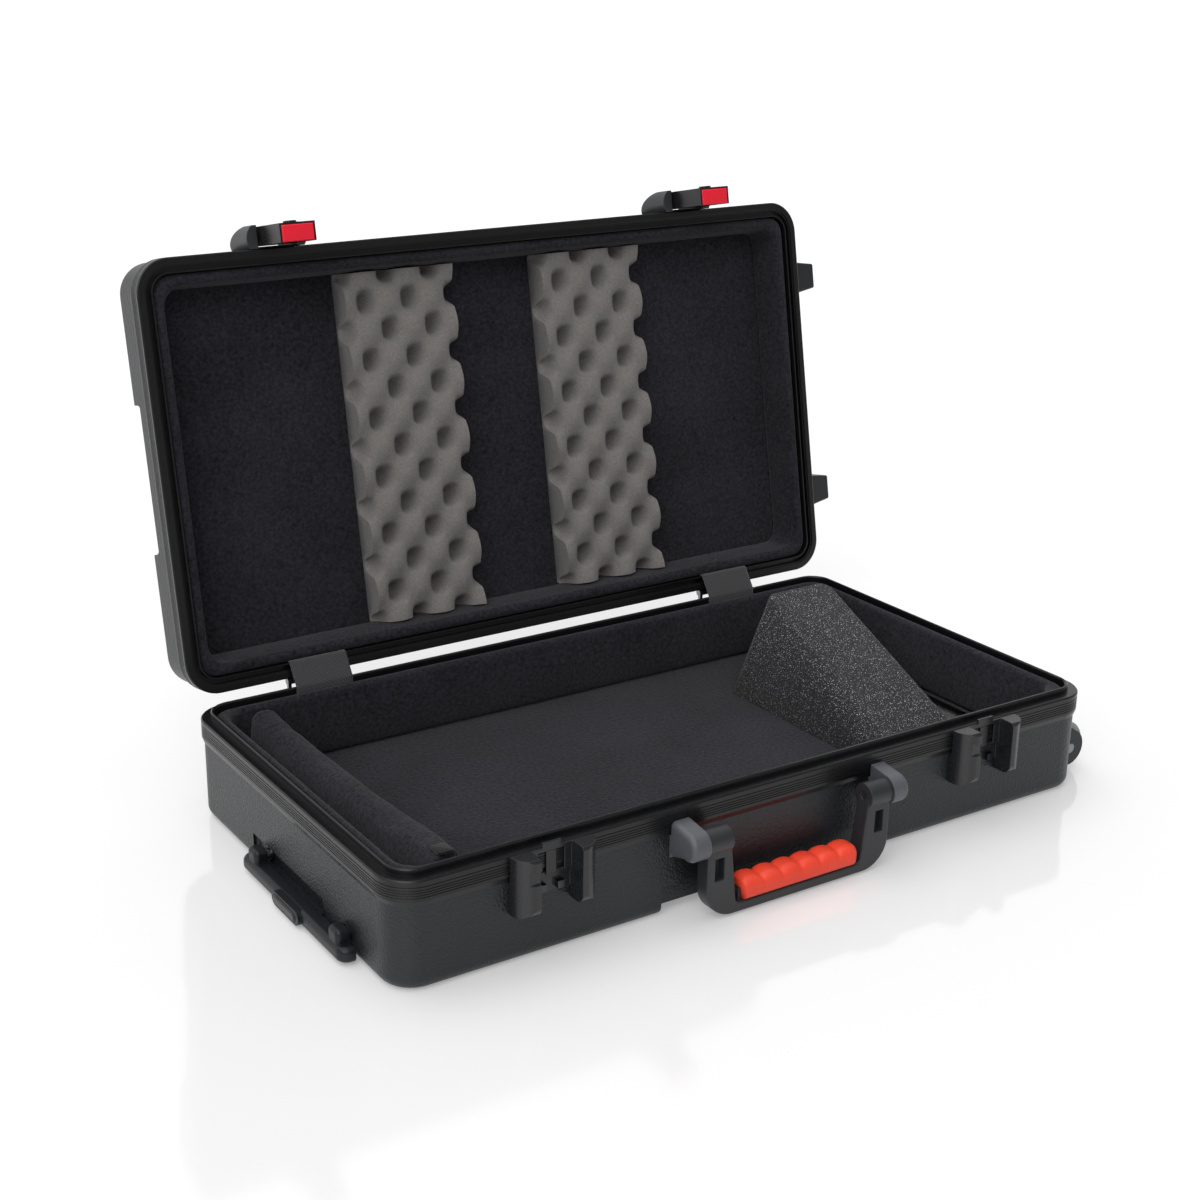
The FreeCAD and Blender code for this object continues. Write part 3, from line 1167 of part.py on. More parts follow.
def hinge_flap(x):
    """Cloth strip that hides a hinge, from the base's lining across the gap to the open lid's lining."""
    base_edge = V(0, BACK - BASE_PAD_START - PAD_GAP, BASE_HEIGHT + PAD_GAP)
    base_in = base_edge + V(0, -FLAP_ON_BASE, BASE_PAD_ABOVE_RIM)
    lid_edge = lid_point(BACK - LID_PAD_START - PAD_GAP, BASE_HEIGHT - PAD_GAP)
    lid_in = lid_point(BACK - LID_PAD_START - PAD_GAP - FLAP_ON_LID,
                       BASE_HEIGHT + LID_PAD_BELOW_RIM - PAD_GAP)
    line = [base_in, base_edge + V(0, 0, TONGUE_HEIGHT), lid_edge, lid_in]
    pieces = []
    for start, end in zip(line, line[1:]):
        way = end - start
        up = V(0, way.z, -way.y).normalize() * FLAP_THICKNESS
        section = [start, end, end - up, start - up]
        quad = face_of([p + V(x - FLAP_HALF_WIDTH, 0, 0) for p in section])
        pieces.append(quad.extrude(V(2 * FLAP_HALF_WIDTH, 0, 0)))
    for corner in line[1:-1]:
        place = corner + V(x - FLAP_HALF_WIDTH, 0, 0)
        pieces.append(rod(FLAP_THICKNESS, place, place + V(2 * FLAP_HALF_WIDTH, 0, 0)))
    return fused(pieces)


def lid_point(y, z):
    """Where a point of the closed lid goes when the lid is open."""
    return opened(Part.Vertex(V(0, y, z))).Point


def centre_pad():
    """Pad in the middle of the underside, level with the corner pads."""
    pad = rounded_prism(CENTRE_PAD_HALF_X, CENTRE_PAD_HALF_Y, CENTRE_PAD_RADIUS, 0, CHANNEL_DEPTH)
    return pad.makeFillet(CENTRE_PAD_EDGE, edges_at(pad, lambda c: abs(c.z) < NEAR))


def trolley_ledge():
    """Ledge low on the end wall that closes the gap behind the trolley grip from below."""
    reach = CHANNEL_HALF_Y - STRIP_LIP_RADIUS
    return box(TROLLEY_BAR_IN + LEDGE_BAR_GAP, -SHELL_X + STRIP_INSET + LEDGE_ROOT, -reach, reach,
               LEDGE_LOW, LEDGE_HIGH)


def base_shell():
    """Lower moulded half with a pad under its middle, a ledge and holes for the trolley sleeves."""
    shell = moulded_shell(BASE_HEIGHT, BASE_STRIP_HEIGHT, True)
    shell = fused([shell, centre_pad(), trolley_ledge()])
    for y in TUBE_YS:
        shell = shell.cut(rod(SLEEVE_RADIUS + SLEEVE_PLAY, V(-HALF_L, y, TROLLEY_TUBE_Z),
                              V(-SHELL_X + STRIP_INSET + 2 * SHELL_WALL, y, TROLLEY_TUBE_Z)))
    return shell


def lid_shell():
    """Upper moulded half, turned over onto the base."""
    return turned_over(moulded_shell(LID_HEIGHT, LID_STRIP_HEIGHT, False))


def base_pieces():
    """Everything that stays with the base."""
    pieces = {
        "base_shell": base_shell(),
        "base_rim": base_rim(),
        "base_wall_lining": base_wall_lining(),
        "base_floor_pad": base_floor_pad(),
        "divider_pad": divider_pad(),
        "divider_hook_tape": divider_hook_tape(),
        "foam_wedge": foam_wedge(),
        "latch_catch_left": latch_catch(-LATCH_X),
        "latch_catch_right": latch_catch(LATCH_X),
        "catch_posts": catch_posts(),
        "handle_lug_left": handle_lug(-1),
        "handle_lug_right": handle_lug(1),
        "handle_pins": group([mirror_x(handle_pin()), handle_pin()]),
        "handle_bail": handle_bail(),
        "handle_grip": handle_grip(),
        "trolley_bar": trolley_bar(),
        "trolley_button": trolley_button(),
        "trolley_tubes": trolley_tubes(),
        "trolley_sleeves": trolley_sleeves(),
        "trolley_bushes": trolley_bushes(),
        "trolley_end_block": trolley_end_block(),
        "wheel_axles": wheel_axles(),
        "hinge_base_leaves": group([hinge_base_leaf(-HINGE_X), hinge_base_leaf(HINGE_X)]),
        "hinge_pins": group([hinge_pin(-HINGE_X, HINGE_PIN_RADIUS), hinge_pin(HINGE_X, HINGE_PIN_RADIUS)]),
        "hinge_base_rivets": group(rivet_heads(BASE_HEIGHT - HINGE_LEAF_LENGTH + RIVET_END)),
        "hinge_flap_left": hinge_flap(-HINGE_X),
        "hinge_flap_right": hinge_flap(HINGE_X),
    }
    for name, side in (("front", -1), ("rear", 1)):
        pieces["wheel_housing_" + name] = wheel_housing(side)
        pieces["wheel_hub_" + name] = wheel_hub(side)
        pieces["wheel_tyre_" + name] = wheel_tyre(side)
    return pieces


def lid_pieces():
    """Everything that turns with the lid, in the closed place."""
    leaf_mid = HINGE_Z + HINGE_KNUCKLE_RADIUS + HINGE_LEAF_LENGTH - RIVET_END
    pieces = {
        "lid_shell": lid_shell(),
        "lid_rim": lid_rim(),
        "lid_wall_lining": lid_wall_lining(),
        "lid_back_panel": lid_back_panel(),
        "latch_pins": group([latch_pin(-LATCH_X, LATCH_PIN_RADIUS), latch_pin(LATCH_X, LATCH_PIN_RADIUS)]),
        "lid_foot_front": lid_foot(-1),
        "lid_foot_rear": lid_foot(1),
        "hinge_lid_leaves": group([hinge_lid_leaf(-HINGE_X), hinge_lid_leaf(HINGE_X)]),
        "hinge_lid_rivets": group(rivet_heads(leaf_mid)),
    }
    for name, x in (("left", -LATCH_X), ("right", LATCH_X)):
        pieces["latch_mount_" + name] = latch_mount(x)
        pieces["latch_lever_" + name] = latch_lever(x)
        pieces["latch_button_" + name] = latch_button(x)
        pieces["lock_plug_" + name] = lock_plug(x)
    for name, centre in STRIP_CENTRES.items():
        pieces["foam_strip_" + name] = foam_strip(centre)
    return pieces


def main():
    os.makedirs(PARTS_FOLDER, exist_ok=True)
    pieces = base_pieces()
    for name, shape in lid_pieces().items():
        pieces[name] = opened(shape)
    for name, shape in pieces.items():
        state = "ok" if shape.isValid() else "INVALID"
        print(f"{name}: {len(shape.Solids)} solids, {shape.Volume / 1000:.1f} cm3, {state}")
        shape.exportStep(os.path.join(PARTS_FOLDER, name + ".step"))


main()
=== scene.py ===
"""Looks of a wheeled hard case: linings, foam, cloth covers, finishes and the studio."""

import json
import math

import bmesh
import bpy
from bpy.props import FloatProperty, FloatVectorProperty, IntProperty, PointerProperty
from mathutils import Matrix, Vector, noise


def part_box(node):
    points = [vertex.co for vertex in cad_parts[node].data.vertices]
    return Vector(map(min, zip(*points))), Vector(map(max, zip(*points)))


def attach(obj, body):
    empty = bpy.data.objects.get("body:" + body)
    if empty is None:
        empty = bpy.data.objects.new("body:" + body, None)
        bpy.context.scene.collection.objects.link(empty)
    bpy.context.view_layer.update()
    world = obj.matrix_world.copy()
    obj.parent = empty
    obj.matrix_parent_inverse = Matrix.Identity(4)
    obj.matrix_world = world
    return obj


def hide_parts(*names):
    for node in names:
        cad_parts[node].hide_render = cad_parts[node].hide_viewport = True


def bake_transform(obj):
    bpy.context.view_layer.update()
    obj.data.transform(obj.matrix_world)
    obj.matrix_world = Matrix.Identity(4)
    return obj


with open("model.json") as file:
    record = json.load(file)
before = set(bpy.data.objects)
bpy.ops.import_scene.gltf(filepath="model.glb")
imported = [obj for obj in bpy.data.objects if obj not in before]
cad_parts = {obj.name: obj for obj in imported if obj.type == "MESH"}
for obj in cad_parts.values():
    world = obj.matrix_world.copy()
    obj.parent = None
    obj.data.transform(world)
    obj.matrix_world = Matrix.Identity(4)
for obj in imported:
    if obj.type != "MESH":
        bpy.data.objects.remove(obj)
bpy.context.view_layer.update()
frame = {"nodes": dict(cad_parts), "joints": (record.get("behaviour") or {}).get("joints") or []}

bl_info = {
    "name": "Wheeled hard case",
    "version": (1, 0, 0),
    "blender": (4, 5, 0),
    "location": "3D View > Sidebar > Hard case",
    "description": "Linings, foam, cloth covers, finishes and studio for a wheeled hard case",
    "category": "Object",
}

MM = 0.001
PLUSH = "Polyester plush, brushed knit"

# Outline of the case over its rims, and the heights that the linings meet
HALF_L = 330 * MM
HALF_W = 177 * MM
OUTER_CORNER = 28 * MM
FLOOR_TOP = 30.5 * MM
LID_PANEL = 123.3 * MM
LID_BACK = 127.7 * MM

# Padded walls: inset of the back from the outline, thickness at the top edge and at the foot,
# height of the top edge
BASE_WALL = (11.6 * MM, 9.8 * MM, 12.4 * MM, 87 * MM)
LID_WALL = (13.3 * MM, 9.8 * MM, 12.9 * MM, 88.2 * MM)
WALL_STEP = 8 * MM
WALL_ROLL = 4.6 * MM
INNER_CORNER = 15 * MM
CORNER_EASE = 3 * MM
GATHER_REACH = 52 * MM
GATHERS = 22

# Insets from the outline at which the padded walls begin to show, and so to be uneven
BASE_SHOWS = 18 * MM
LID_SHOWS = 20 * MM

# Wheel wells that stand into the base at its right end, and the inset that the lining keeps there
WELL_START = 300 * MM
WELL_SIDES = (112 * MM, 159 * MM)
WELL_TOP = 55 * MM
WELL_INSET = 20.6 * MM

# Padded boards: their two ends along the case and half their width
LID_BOARD = (-314 * MM, 314 * MM, 161 * MM)
FLOOR_BOARD = (-316 * MM, 309.3 * MM, 162 * MM)
FLOOR_BACK = 23.4 * MM
BOARD_CLEAR = 0.2 * MM
BOARD_UNEVEN = 0.5 * MM

# Divider: lean and rounding of its top, sag of the top's middle, a pleat and its place, unevenness of
# the top and of the sides, bow of the sides, and the most that the pad swells
DIVIDER_LEAN = 5 * MM
DIVIDER_ROUND = 8.5 * MM
DIVIDER_SAG = 2.2
DIVIDER_PLEAT = 1.6
DIVIDER_PLEAT_AT = 112 * MM
DIVIDER_PLEAT_WIDTH = 5 * MM
DIVIDER_TOP_UNEVEN = 0.9
DIVIDER_SIDE_UNEVEN = 1.2
DIVIDER_BOW = 1.6
DIVIDER_SWELL = 2.2 * MM

# Foam strips and their places along the lid; where on the foam's wave a pit begins, and the part
# of the wave that it takes up
STRIP_HALF_W = 52.5 * MM
STRIP_HALF_L = 150.4 * MM
STRIP_PLACES = {"left": -92.5 * MM, "right": 102.5 * MM}
PIT_START = 0.12
PIT_SPAN = 0.84

# Loose wedge: half its width at the top, its thin front edge, its clearance over the floor, the rounding
# of its corners and edges, and the height under which edges stay sharp
WEDGE_TOP_HALF = 36 * MM
WEDGE_TOE = 5 * MM
WEDGE_CLEAR = 0.2 * MM
WEDGE_ROUND = 10 * MM
WEDGE_EDGE = 1.8 * MM
WEDGE_FOOT = 34 * MM

# Cloth covers over the hinges
COVER_WIDTH = 52 * MM
COVER_THICK = 0.8 * MM
COVER_PLACES = {"left": -214 * MM, "right": 214 * MM}

# Soft grip: rounding along its length, depth of the dips between the finger bumps, and the share of its
# height where these begin
GRIP_ROUND = 7 * MM
GRIP_DIP = 4.2 * MM
GRIP_BAND = 0.45

# Point that the camera looks at, its lens shift, and half the studio floor's side, in metres
CAMERA_TARGET = Vector((-0.1219, 0, 0.2142))
CAMERA_SHIFT = (0.0658, -0.0175)
FLOOR_HALF = 30

# The lid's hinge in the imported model
LID_JOINT = next(j for j in frame["joints"] if j["name"] == "lid_hinge")
LID_TURN = (Matrix.Translation(LID_JOINT["pos_m"])
            @ Matrix.Rotation(-math.radians(max(LID_JOINT["range_deg"])), 4, "X")
            @ Matrix.Translation([-c for c in LID_JOINT["pos_m"]]))


def linear(code):
    """An sRGB hex colour as linear RGBA."""
    parts = [int(code[k:k + 2], 16) / 255 for k in (1, 3, 5)]
    return [c / 12.92 if c <= 0.04045 else ((c + 0.055) / 1.055) ** 2.4 for c in parts] + [1.0]


def hex_colour(label, words, code):
    """A colour setting that starts from an sRGB hex value."""
    return FloatVectorProperty(name=label, description=words, subtype="COLOR", size=4, min=0, max=1,
                               default=linear(code))


def length(label, words, millimetres):
    """A length setting that starts from a value in millimetres."""
    return FloatProperty(name=label, description=words, unit="LENGTH", default=millimetres * MM)


def strength(label, words, value):
    """A strength of light."""
    return FloatProperty(name=label, description=words, default=value, min=0)


class LiningSettings(bpy.types.PropertyGroup):
    """Plush linings and the divider."""

    plush: hex_colour("Plush", "Colour of the plush pile", "#0F0E12")
    # Painted highlight: a lighter tone mixed at random into the pile for the light that its fibres catch
    plush_painted_highlight: hex_colour("Plush tips", "Colour of the pile where it catches the light", "#36343B")
    bulge: length("Bulge", "How far a padded wall swells between its edges", 1.2)
    wobble: length("Wobble", "Unevenness of the padded walls", 0.8)
    pleat: length("Pleat", "Depth of the gathers at the corners", 0.8)


class FoamSettings(bpy.types.PropertyGroup):
    """Foam strips in the lid and the loose wedge."""

    grey: hex_colour("Strip foam", "Colour of the convoluted foam", "#7B7875")
    charcoal: hex_colour("Wedge foam", "Colour of the wedge", "#2B2B2E")
    depth: length("Pit depth", "How deep the pits go below the swells", 15)
    swell: length("Swell", "How far the surface falls from the peaks to the pits' edges", 7)
    pitch: length("Pitch", "Distance between pits along a row", 42)
    row: length("Row", "Distance between rows", 25)
    thickness: length("Thickness", "Height of the peaks over the lid's panel", 25)


class TrimSettings(bpy.types.PropertyGroup):
    """Shells, rims and hardware."""

    shell: hex_colour("Shell", "Colour of the moulded shells", "#15191D")
    rim: hex_colour("Rim", "Colour of the anodised rims", "#0E0F11")
    hardware: hex_colour("Hardware", "Colour of the latches and lugs", "#404246")
    lever: hex_colour("Lever", "Colour of the latch levers", "#161618")
    button: hex_colour("Button", "Colour of the latch buttons", "#FF2038")
    grip: hex_colour("Grip", "Colour of the soft grip", "#FF482D")
    bumps: IntProperty(name="Finger bumps", description="Bumps along the grip", default=6, min=1)


class StageSettings(bpy.types.PropertyGroup):
    """Studio light and camera."""

    room: strength("Room", "Strength of the even light from the front", 0.28)
    backdrop: strength("Backdrop", "Strength of the even light from behind", 0.9)
    key: strength("Key", "Strength of the soft light from the front left", 1.3)
    top: strength("Top", "Strength of the soft light overhead", 0.9)
    glow: strength("Floor", "Strength of the white that the floor adds to the eye", 0.24)
    lens: FloatProperty(name="Lens", description="Focal length", default=56.06, unit="CAMERA")
    azimuth: FloatProperty(name="Azimuth", description="Camera's turn about the case", subtype="ANGLE",
                           default=math.radians(-31.43))
    elevation: FloatProperty(name="Elevation", description="Camera's height over the horizon",
                             subtype="ANGLE", default=math.radians(19.04))
    distance: FloatProperty(name="Distance", description="Camera to target", unit="LENGTH", default=1.4416)


def add_node(tree, kind, inputs, **settings):
    """Adds a node with its settings, values and links; a socket as a value is linked."""
    node = tree.nodes.new(kind)
    for key, value in settings.items():
        setattr(node, key, value)
    for key, value in inputs.items():
        if isinstance(value, bpy.types.NodeSocket):
            tree.links.new(value, node.inputs[key])
        else:
            node.inputs[key].default_value = value
    return node


def start_material(name, **sockets):
    """A named material with its shader, and the object's own coordinates."""
    material = bpy.data.materials.new(name)
    material.use_nodes = True
    tree = material.node_tree
    shader = tree.nodes["Principled BSDF"]
    for key, value in sockets.items():
        shader.inputs[key.replace("_", " ")].default_value = value
    place = add_node(tree, "ShaderNodeTexCoord", {}).outputs["Object"]
    return material, tree, shader, place


def two_tones(tree, factor, low, high, start=0.3, end=0.7):
    """A colour that runs from one tone to another with a factor."""
    ramp = add_node(tree, "ShaderNodeMapRange",
                    {"Value": factor, "From Min": start, "From Max": end})
    mix = add_node(tree, "ShaderNodeMix", {"Factor": ramp.outputs["Result"]}, data_type="RGBA")
    mix.inputs[6].default_value = low
    mix.inputs[7].default_value = high
    return mix.outputs[2]


def scaled(colour, share):
    """A colour made lighter or darker."""
    return [min(1.0, c * share) for c in colour[:3]] + [1.0]


def grained_shell(colour):
    """Moulded polyethylene with a leather grain: pebbles break a broad dull sheen into points of light."""
    material, tree, shader, place = start_material("Moulded polyethylene, leather grain", Roughness=0.4)
    # A real pebble is about 1 mm across; 1.8 mm is as fine as the render shows.
    pebble = add_node(tree, "ShaderNodeTexVoronoi",
                      {"Vector": place, "Scale": 1 / (1.8 * MM), "Smoothness": 0.4}, feature="SMOOTH_F1")
    drift = add_node(tree, "ShaderNodeTexNoise", {"Vector": place, "Scale": 1 / (60 * MM), "Detail": 3.0})
    tone = two_tones(tree, drift.outputs["Fac"], scaled(colour, 0.85), scaled(colour, 1.15))
    bump = add_node(tree, "ShaderNodeBump", {"Strength": 0.9, "Distance": 0.4 * MM,
                                             "Height": pebble.outputs["Distance"]})
    tree.links.new(tone, shader.inputs["Base Color"])
    tree.links.new(bump.outputs["Normal"], shader.inputs["Normal"])
    return material


def anodised_rim(colour):
    """Black anodised aluminium extrusion: a satin, slightly uneven sheen and soft bright edges."""
    material, tree, shader, place = start_material("Black anodised aluminium, extruded",
                                                   Specular_IOR_Level=0.42)
    sheen = add_node(tree, "ShaderNodeTexNoise", {"Vector": place, "Scale": 1 / (5 * MM), "Detail": 4.0})
    rough = add_node(tree, "ShaderNodeMapRange",
                     {"Value": sheen.outputs["Fac"], "To Min": 0.24, "To Max": 0.36})
    tone = two_tones(tree, sheen.outputs["Fac"], scaled(colour, 0.85), scaled(colour, 1.2))
    round_edge = add_node(tree, "ShaderNodeBevel", {"Radius": 0.35 * MM}, samples=6)
    tree.links.new(tone, shader.inputs["Base Color"])
    tree.links.new(rough.outputs["Result"], shader.inputs["Roughness"])
    tree.links.new(round_edge.outputs["Normal"], shader.inputs["Normal"])
    return material


def moulded_plastic(name, colour, roughness, grit=0.9, relief=0.03, edge=0.0, gloss=0.5):
    """Moulded plastic: an even colour with a fine eroded grit, and rounded edges that catch the light."""
    material, tree, shader, place = start_material(name, Specular_IOR_Level=gloss)
    # Real grit is about 0.1 mm; 0.8 to 0.9 mm is as fine as the render shows.
    speck = add_node(tree, "ShaderNodeTexNoise", {"Vector": place, "Scale": 1 / (grit * MM), "Detail": 2.0})
    drift = add_node(tree, "ShaderNodeTexNoise", {"Vector": place, "Scale": 1 / (35 * MM), "Detail": 2.0})
    tone = two_tones(tree, drift.outputs["Fac"], scaled(colour, 0.92), scaled(colour, 1.08))
    rough = add_node(tree, "ShaderNodeMapRange",
                     {"Value": speck.outputs["Fac"], "To Min": roughness - 0.05, "To Max": roughness + 0.05})
    bump = add_node(tree, "ShaderNodeBump", {"Strength": 0.4, "Distance": relief * MM,
                                             "Height": speck.outputs["Fac"]})
    if edge:
        round_edge = add_node(tree, "ShaderNodeBevel", {"Radius": edge * MM}, samples=6)
        tree.links.new(round_edge.outputs["Normal"], bump.inputs["Normal"])
    tree.links.new(tone, shader.inputs["Base Color"])
    tree.links.new(rough.outputs["Result"], shader.inputs["Roughness"])
    tree.links.new(bump.outputs["Normal"], shader.inputs["Normal"])
    return material


def bare_metal(name, code, roughness):
    """Bare metal: bright, with fine uneven polish."""
    material, tree, shader, place = start_material(name, Metallic=1.0, Base_Color=linear(code))
    polish = add_node(tree, "ShaderNodeTexNoise", {"Vector": place, "Scale": 1 / (2 * MM), "Detail": 3.0})
    rough = add_node(tree, "ShaderNodeMapRange",
                     {"Value": polish.outputs["Fac"], "To Min": roughness - 0.06, "To Max": roughness + 0.06})
    tree.links.new(rough.outputs["Result"], shader.inputs["Roughness"])
    return material


def plush_pile(colour, painted_highlight):
    """Knitted plush: near black, with short fibres that lighten it where it curves away, and random patches
    of painted highlight in its colour.
    """
    material, tree, shader, place = start_material(PLUSH, Roughness=0.95, Specular_IOR_Level=0.15,
                                                   Sheen_Weight=0.1, Sheen_Roughness=0.5)
    # Fibres are 0.1 mm thick; tufts of 3 mm are the finest that the render shows.
    tufts = add_node(tree, "ShaderNodeTexNoise", {"Vector": place, "Scale": 1 / (3 * MM), "Detail": 4.0,
                                                  "Roughness": 0.75})
    nap = add_node(tree, "ShaderNodeTexNoise", {"Vector": place, "Scale": 1 / (70 * MM), "Detail": 2.0})
    both = add_node(tree, "ShaderNodeMath", {0: nap.outputs["Fac"], 1: 0.22, 2: tufts.outputs["Fac"]},
                    operation="MULTIPLY_ADD")
    # The tone runs with the tufts and the nap from the plush colour to the painted highlight: partly the
    # pile's own unevenness, partly painted light.
    tone = two_tones(tree, both.outputs["Value"], colour, painted_highlight, 0.42, 0.8)
    bump = add_node(tree, "ShaderNodeBump",
                    {"Strength": 0.8, "Distance": 1.0 * MM, "Height": tufts.outputs["Fac"]})
    tree.links.new(tone, shader.inputs["Base Color"])
    tree.links.new(bump.outputs["Normal"], shader.inputs["Normal"])
    return material


def shared_plush(scene):
    """The plush that the linings and the divider are covered with."""
    return bpy.data.materials.get(PLUSH) or plush_pile(scene.case_lining.plush, scene.case_lining.plush_painted_highlight)


def open_foam(name, colour, painted_glint_share, spread):
    """Open-cell polyurethane foam: dull, with tiny cells, and pale specks painted into its colour as the
    glints of some cells.
    """
    material, tree, shader, place = start_material(name, Roughness=0.95, Specular_IOR_Level=0.2,
                                                   Sheen_Weight=0.15, Sheen_Roughness=0.6)
    # Cells are 0.5 mm; 1.5 mm is as fine as the render shows, and 0.9 mm for the painted glints.
    cells = add_node(tree, "ShaderNodeTexVoronoi", {"Vector": place, "Scale": 1 / (1.5 * MM)})
    mottle = add_node(tree, "ShaderNodeTexNoise", {"Vector": place, "Scale": 1 / (1.5 * MM), "Detail": 3.0})
    tone = two_tones(tree, mottle.outputs["Fac"], scaled(colour, 1 - spread), scaled(colour, 1 + spread))
    # Painted glints: where this noise peaks, a pale colour is mixed in for the light off the cells.
    glint = add_node(tree, "ShaderNodeTexNoise", {"Vector": place, "Scale": 1 / (0.9 * MM), "Detail": 0.0})
    painted_glint_mask = add_node(tree, "ShaderNodeMapRange", {"Value": glint.outputs["Fac"], "From Min": 0.69,
                                                  "From Max": 0.75, "To Max": painted_glint_share})
    bright = add_node(tree, "ShaderNodeMix", {"Factor": painted_glint_mask.outputs["Result"]}, data_type="RGBA")
    tree.links.new(tone, bright.inputs[6])
    bright.inputs[7].default_value = linear("#C4C5C8")
    bump = add_node(tree, "ShaderNodeBump", {"Strength": 0.5, "Distance": 0.5 * MM,
                                             "Height": cells.outputs["Distance"]})
    tree.links.new(bright.outputs[2], shader.inputs["Base Color"])
    tree.links.new(bump.outputs["Normal"], shader.inputs["Normal"])
    return material


def woven_cloth(name, colour, thread):
    """Plain woven polyester tape: a fine over-and-under of threads, a little greyer than the plush."""
    material, tree, shader, place = start_material(name, Roughness=0.9, Specular_IOR_Level=0.2,
                                                   Sheen_Weight=0.2)
    # Real threads are about 0.5 mm; 1.6 to 1.8 mm is as fine as the render shows. At a scale of 1 the
    # wave texture has a band every 0.314 units.
    threads = {"Vector": place, "Scale": 0.314 / (thread * MM), "Distortion": 0.6}
    warp = add_node(tree, "ShaderNodeTexWave", threads, bands_direction="X")
    weft = add_node(tree, "ShaderNodeTexWave", threads, bands_direction="DIAGONAL")
    both = add_node(tree, "ShaderNodeMath", {0: warp.outputs["Fac"], 1: weft.outputs["Fac"]},
                    operation="MULTIPLY")
    tone = two_tones(tree, both.outputs["Value"], scaled(colour, 0.75), scaled(colour, 1.35), 0.0, 0.8)
    bump = add_node(tree, "ShaderNodeBump",
                    {"Strength": 0.6, "Distance": 0.3 * MM, "Height": both.outputs["Value"]})
    tree.links.new(tone, shader.inputs["Base Color"])
    tree.links.new(bump.outputs["Normal"], shader.inputs["Normal"])
    return material


def dress(material, *nodes):
    """Gives carried-over nodes a finish."""
    for name in nodes:
        data = frame["nodes"][name].data
        data.materials.clear()
        data.materials.append(material)


def make_piece(bm, name, material):
    """Turns a bmesh into a smooth-shaded piece with its finish."""
    bmesh.ops.remove_doubles(bm, verts=bm.verts, dist=1e-6)
    bmesh.ops.recalc_face_normals(bm, faces=bm.faces)
    mesh = bpy.data.meshes.new(name)
    bm.to_mesh(mesh)
    bm.free()
    mesh.polygons.foreach_set("use_smooth", [True] * len(mesh.polygons))
    piece = bpy.data.objects.new(name, mesh)
    bpy.context.scene.collection.objects.link(piece)
    mesh.materials.append(material)
    return piece


def filled_box(low, high):
    """A box between two corners."""
    bm = bmesh.new()
    bmesh.ops.create_cube(bm, size=1)
    bmesh.ops.scale(bm, verts=bm.verts, vec=high - low)
    bmesh.ops.translate(bm, verts=bm.verts, vec=(low + high) / 2)
    return bm


def round_edges(bm, edges, radius, segments):
    """Rounds edges to a radius."""
    bmesh.ops.bevel(bm, geom=edges, offset=radius, offset_type="OFFSET", affect="EDGES", segments=segments,
                    profile=0.5, material=-1)


def close_back(bm, height):
    """Gives an open face its sides and a flat back at a height, with a crisp edge round the face."""
    rim = [e for e in bm.edges if e.is_boundary]
    made = bmesh.ops.extrude_edge_only(bm, edges=rim)["geom"]
    for edge in rim:
        edge.smooth = False
    for v in (g for g in made if isinstance(g, bmesh.types.BMVert)):
        v.co.z = height
    foot = [g for g in made if isinstance(g, bmesh.types.BMEdge) and g.is_boundary]
    bmesh.ops.contextual_create(bm, geom=foot)


def soften(piece, levels):
    """Rounds a piece with subdivision."""
    modifier = piece.modifiers.new("Soft surface", "SUBSURF")
    modifier.levels = levels
    modifier.render_levels = levels


def move_ring(verts, was, now, height):
    """Moves a loop round the case from one inset and corner radius to another."""
    (old_inset, old_corner), (inset, corner) = was, now
    core_x, core_y = HALF_L - old_inset - old_corner, HALF_W - old_inset - old_corner
    for v in verts:
        side_x, side_y = math.copysign(1, v.co.x), math.copysign(1, v.co.y)
        out_x, out_y = abs(v.co.x) - core_x, abs(v.co.y) - core_y
        if out_x > 1e-5 and out_y > 1e-5:
            angle = math.atan2(out_y, out_x)
            v.co.x = side_x * (HALF_L - inset - corner + corner * math.cos(angle))
            v.co.y = side_y * (HALF_W - inset - corner + corner * math.sin(angle))
        elif out_x > out_y:
            v.co.x = side_x * (HALF_L - inset)
        else:
            v.co.y = side_y * (HALF_W - inset)
        v.co.z = height


def ring_along_case(profile, step):
    """A closed ring round the case from (inset, corner radius, height) profile points."""
    bm = bmesh.new()
    inset, corner, height = profile[0]
    bmesh.ops.create_grid(bm, x_segments=1, y_segments=1, size=1)
    bmesh.ops.scale(bm, verts=bm.verts, vec=(HALF_L - inset, HALF_W - inset, 1))
    bmesh.ops.bevel(bm, geom=bm.verts[:], offset=corner, offset_type="OFFSET", affect="VERTICES",
                    segments=9, profile=0.5, material=-1)
    bmesh.ops.delete(bm, geom=bm.faces[:], context="FACES_ONLY")
    for edge in [e for e in bm.edges if e.calc_length() > 3 * step]:
        bmesh.ops.subdivide_edges(bm, edges=[edge], cuts=int(edge.calc_length() / step))
    for v in bm.verts:
        v.co.z = height
    first = bm.edges[:]
    loop = first
    was = (inset, corner)
    for inset, corner, height in profile[1:]:
        made = bmesh.ops.extrude_edge_only(bm, edges=loop)["geom"]
        move_ring([g for g in made if isinstance(g, bmesh.types.BMVert)], was, (inset, corner), height)
        loop = [g for g in made if isinstance(g, bmesh.types.BMEdge) and g.is_boundary]
        was = (inset, corner)
    bmesh.ops.bridge_loops(bm, edges=first + loop)
    bmesh.ops.recalc_face_normals(bm, faces=bm.faces)
    return bm


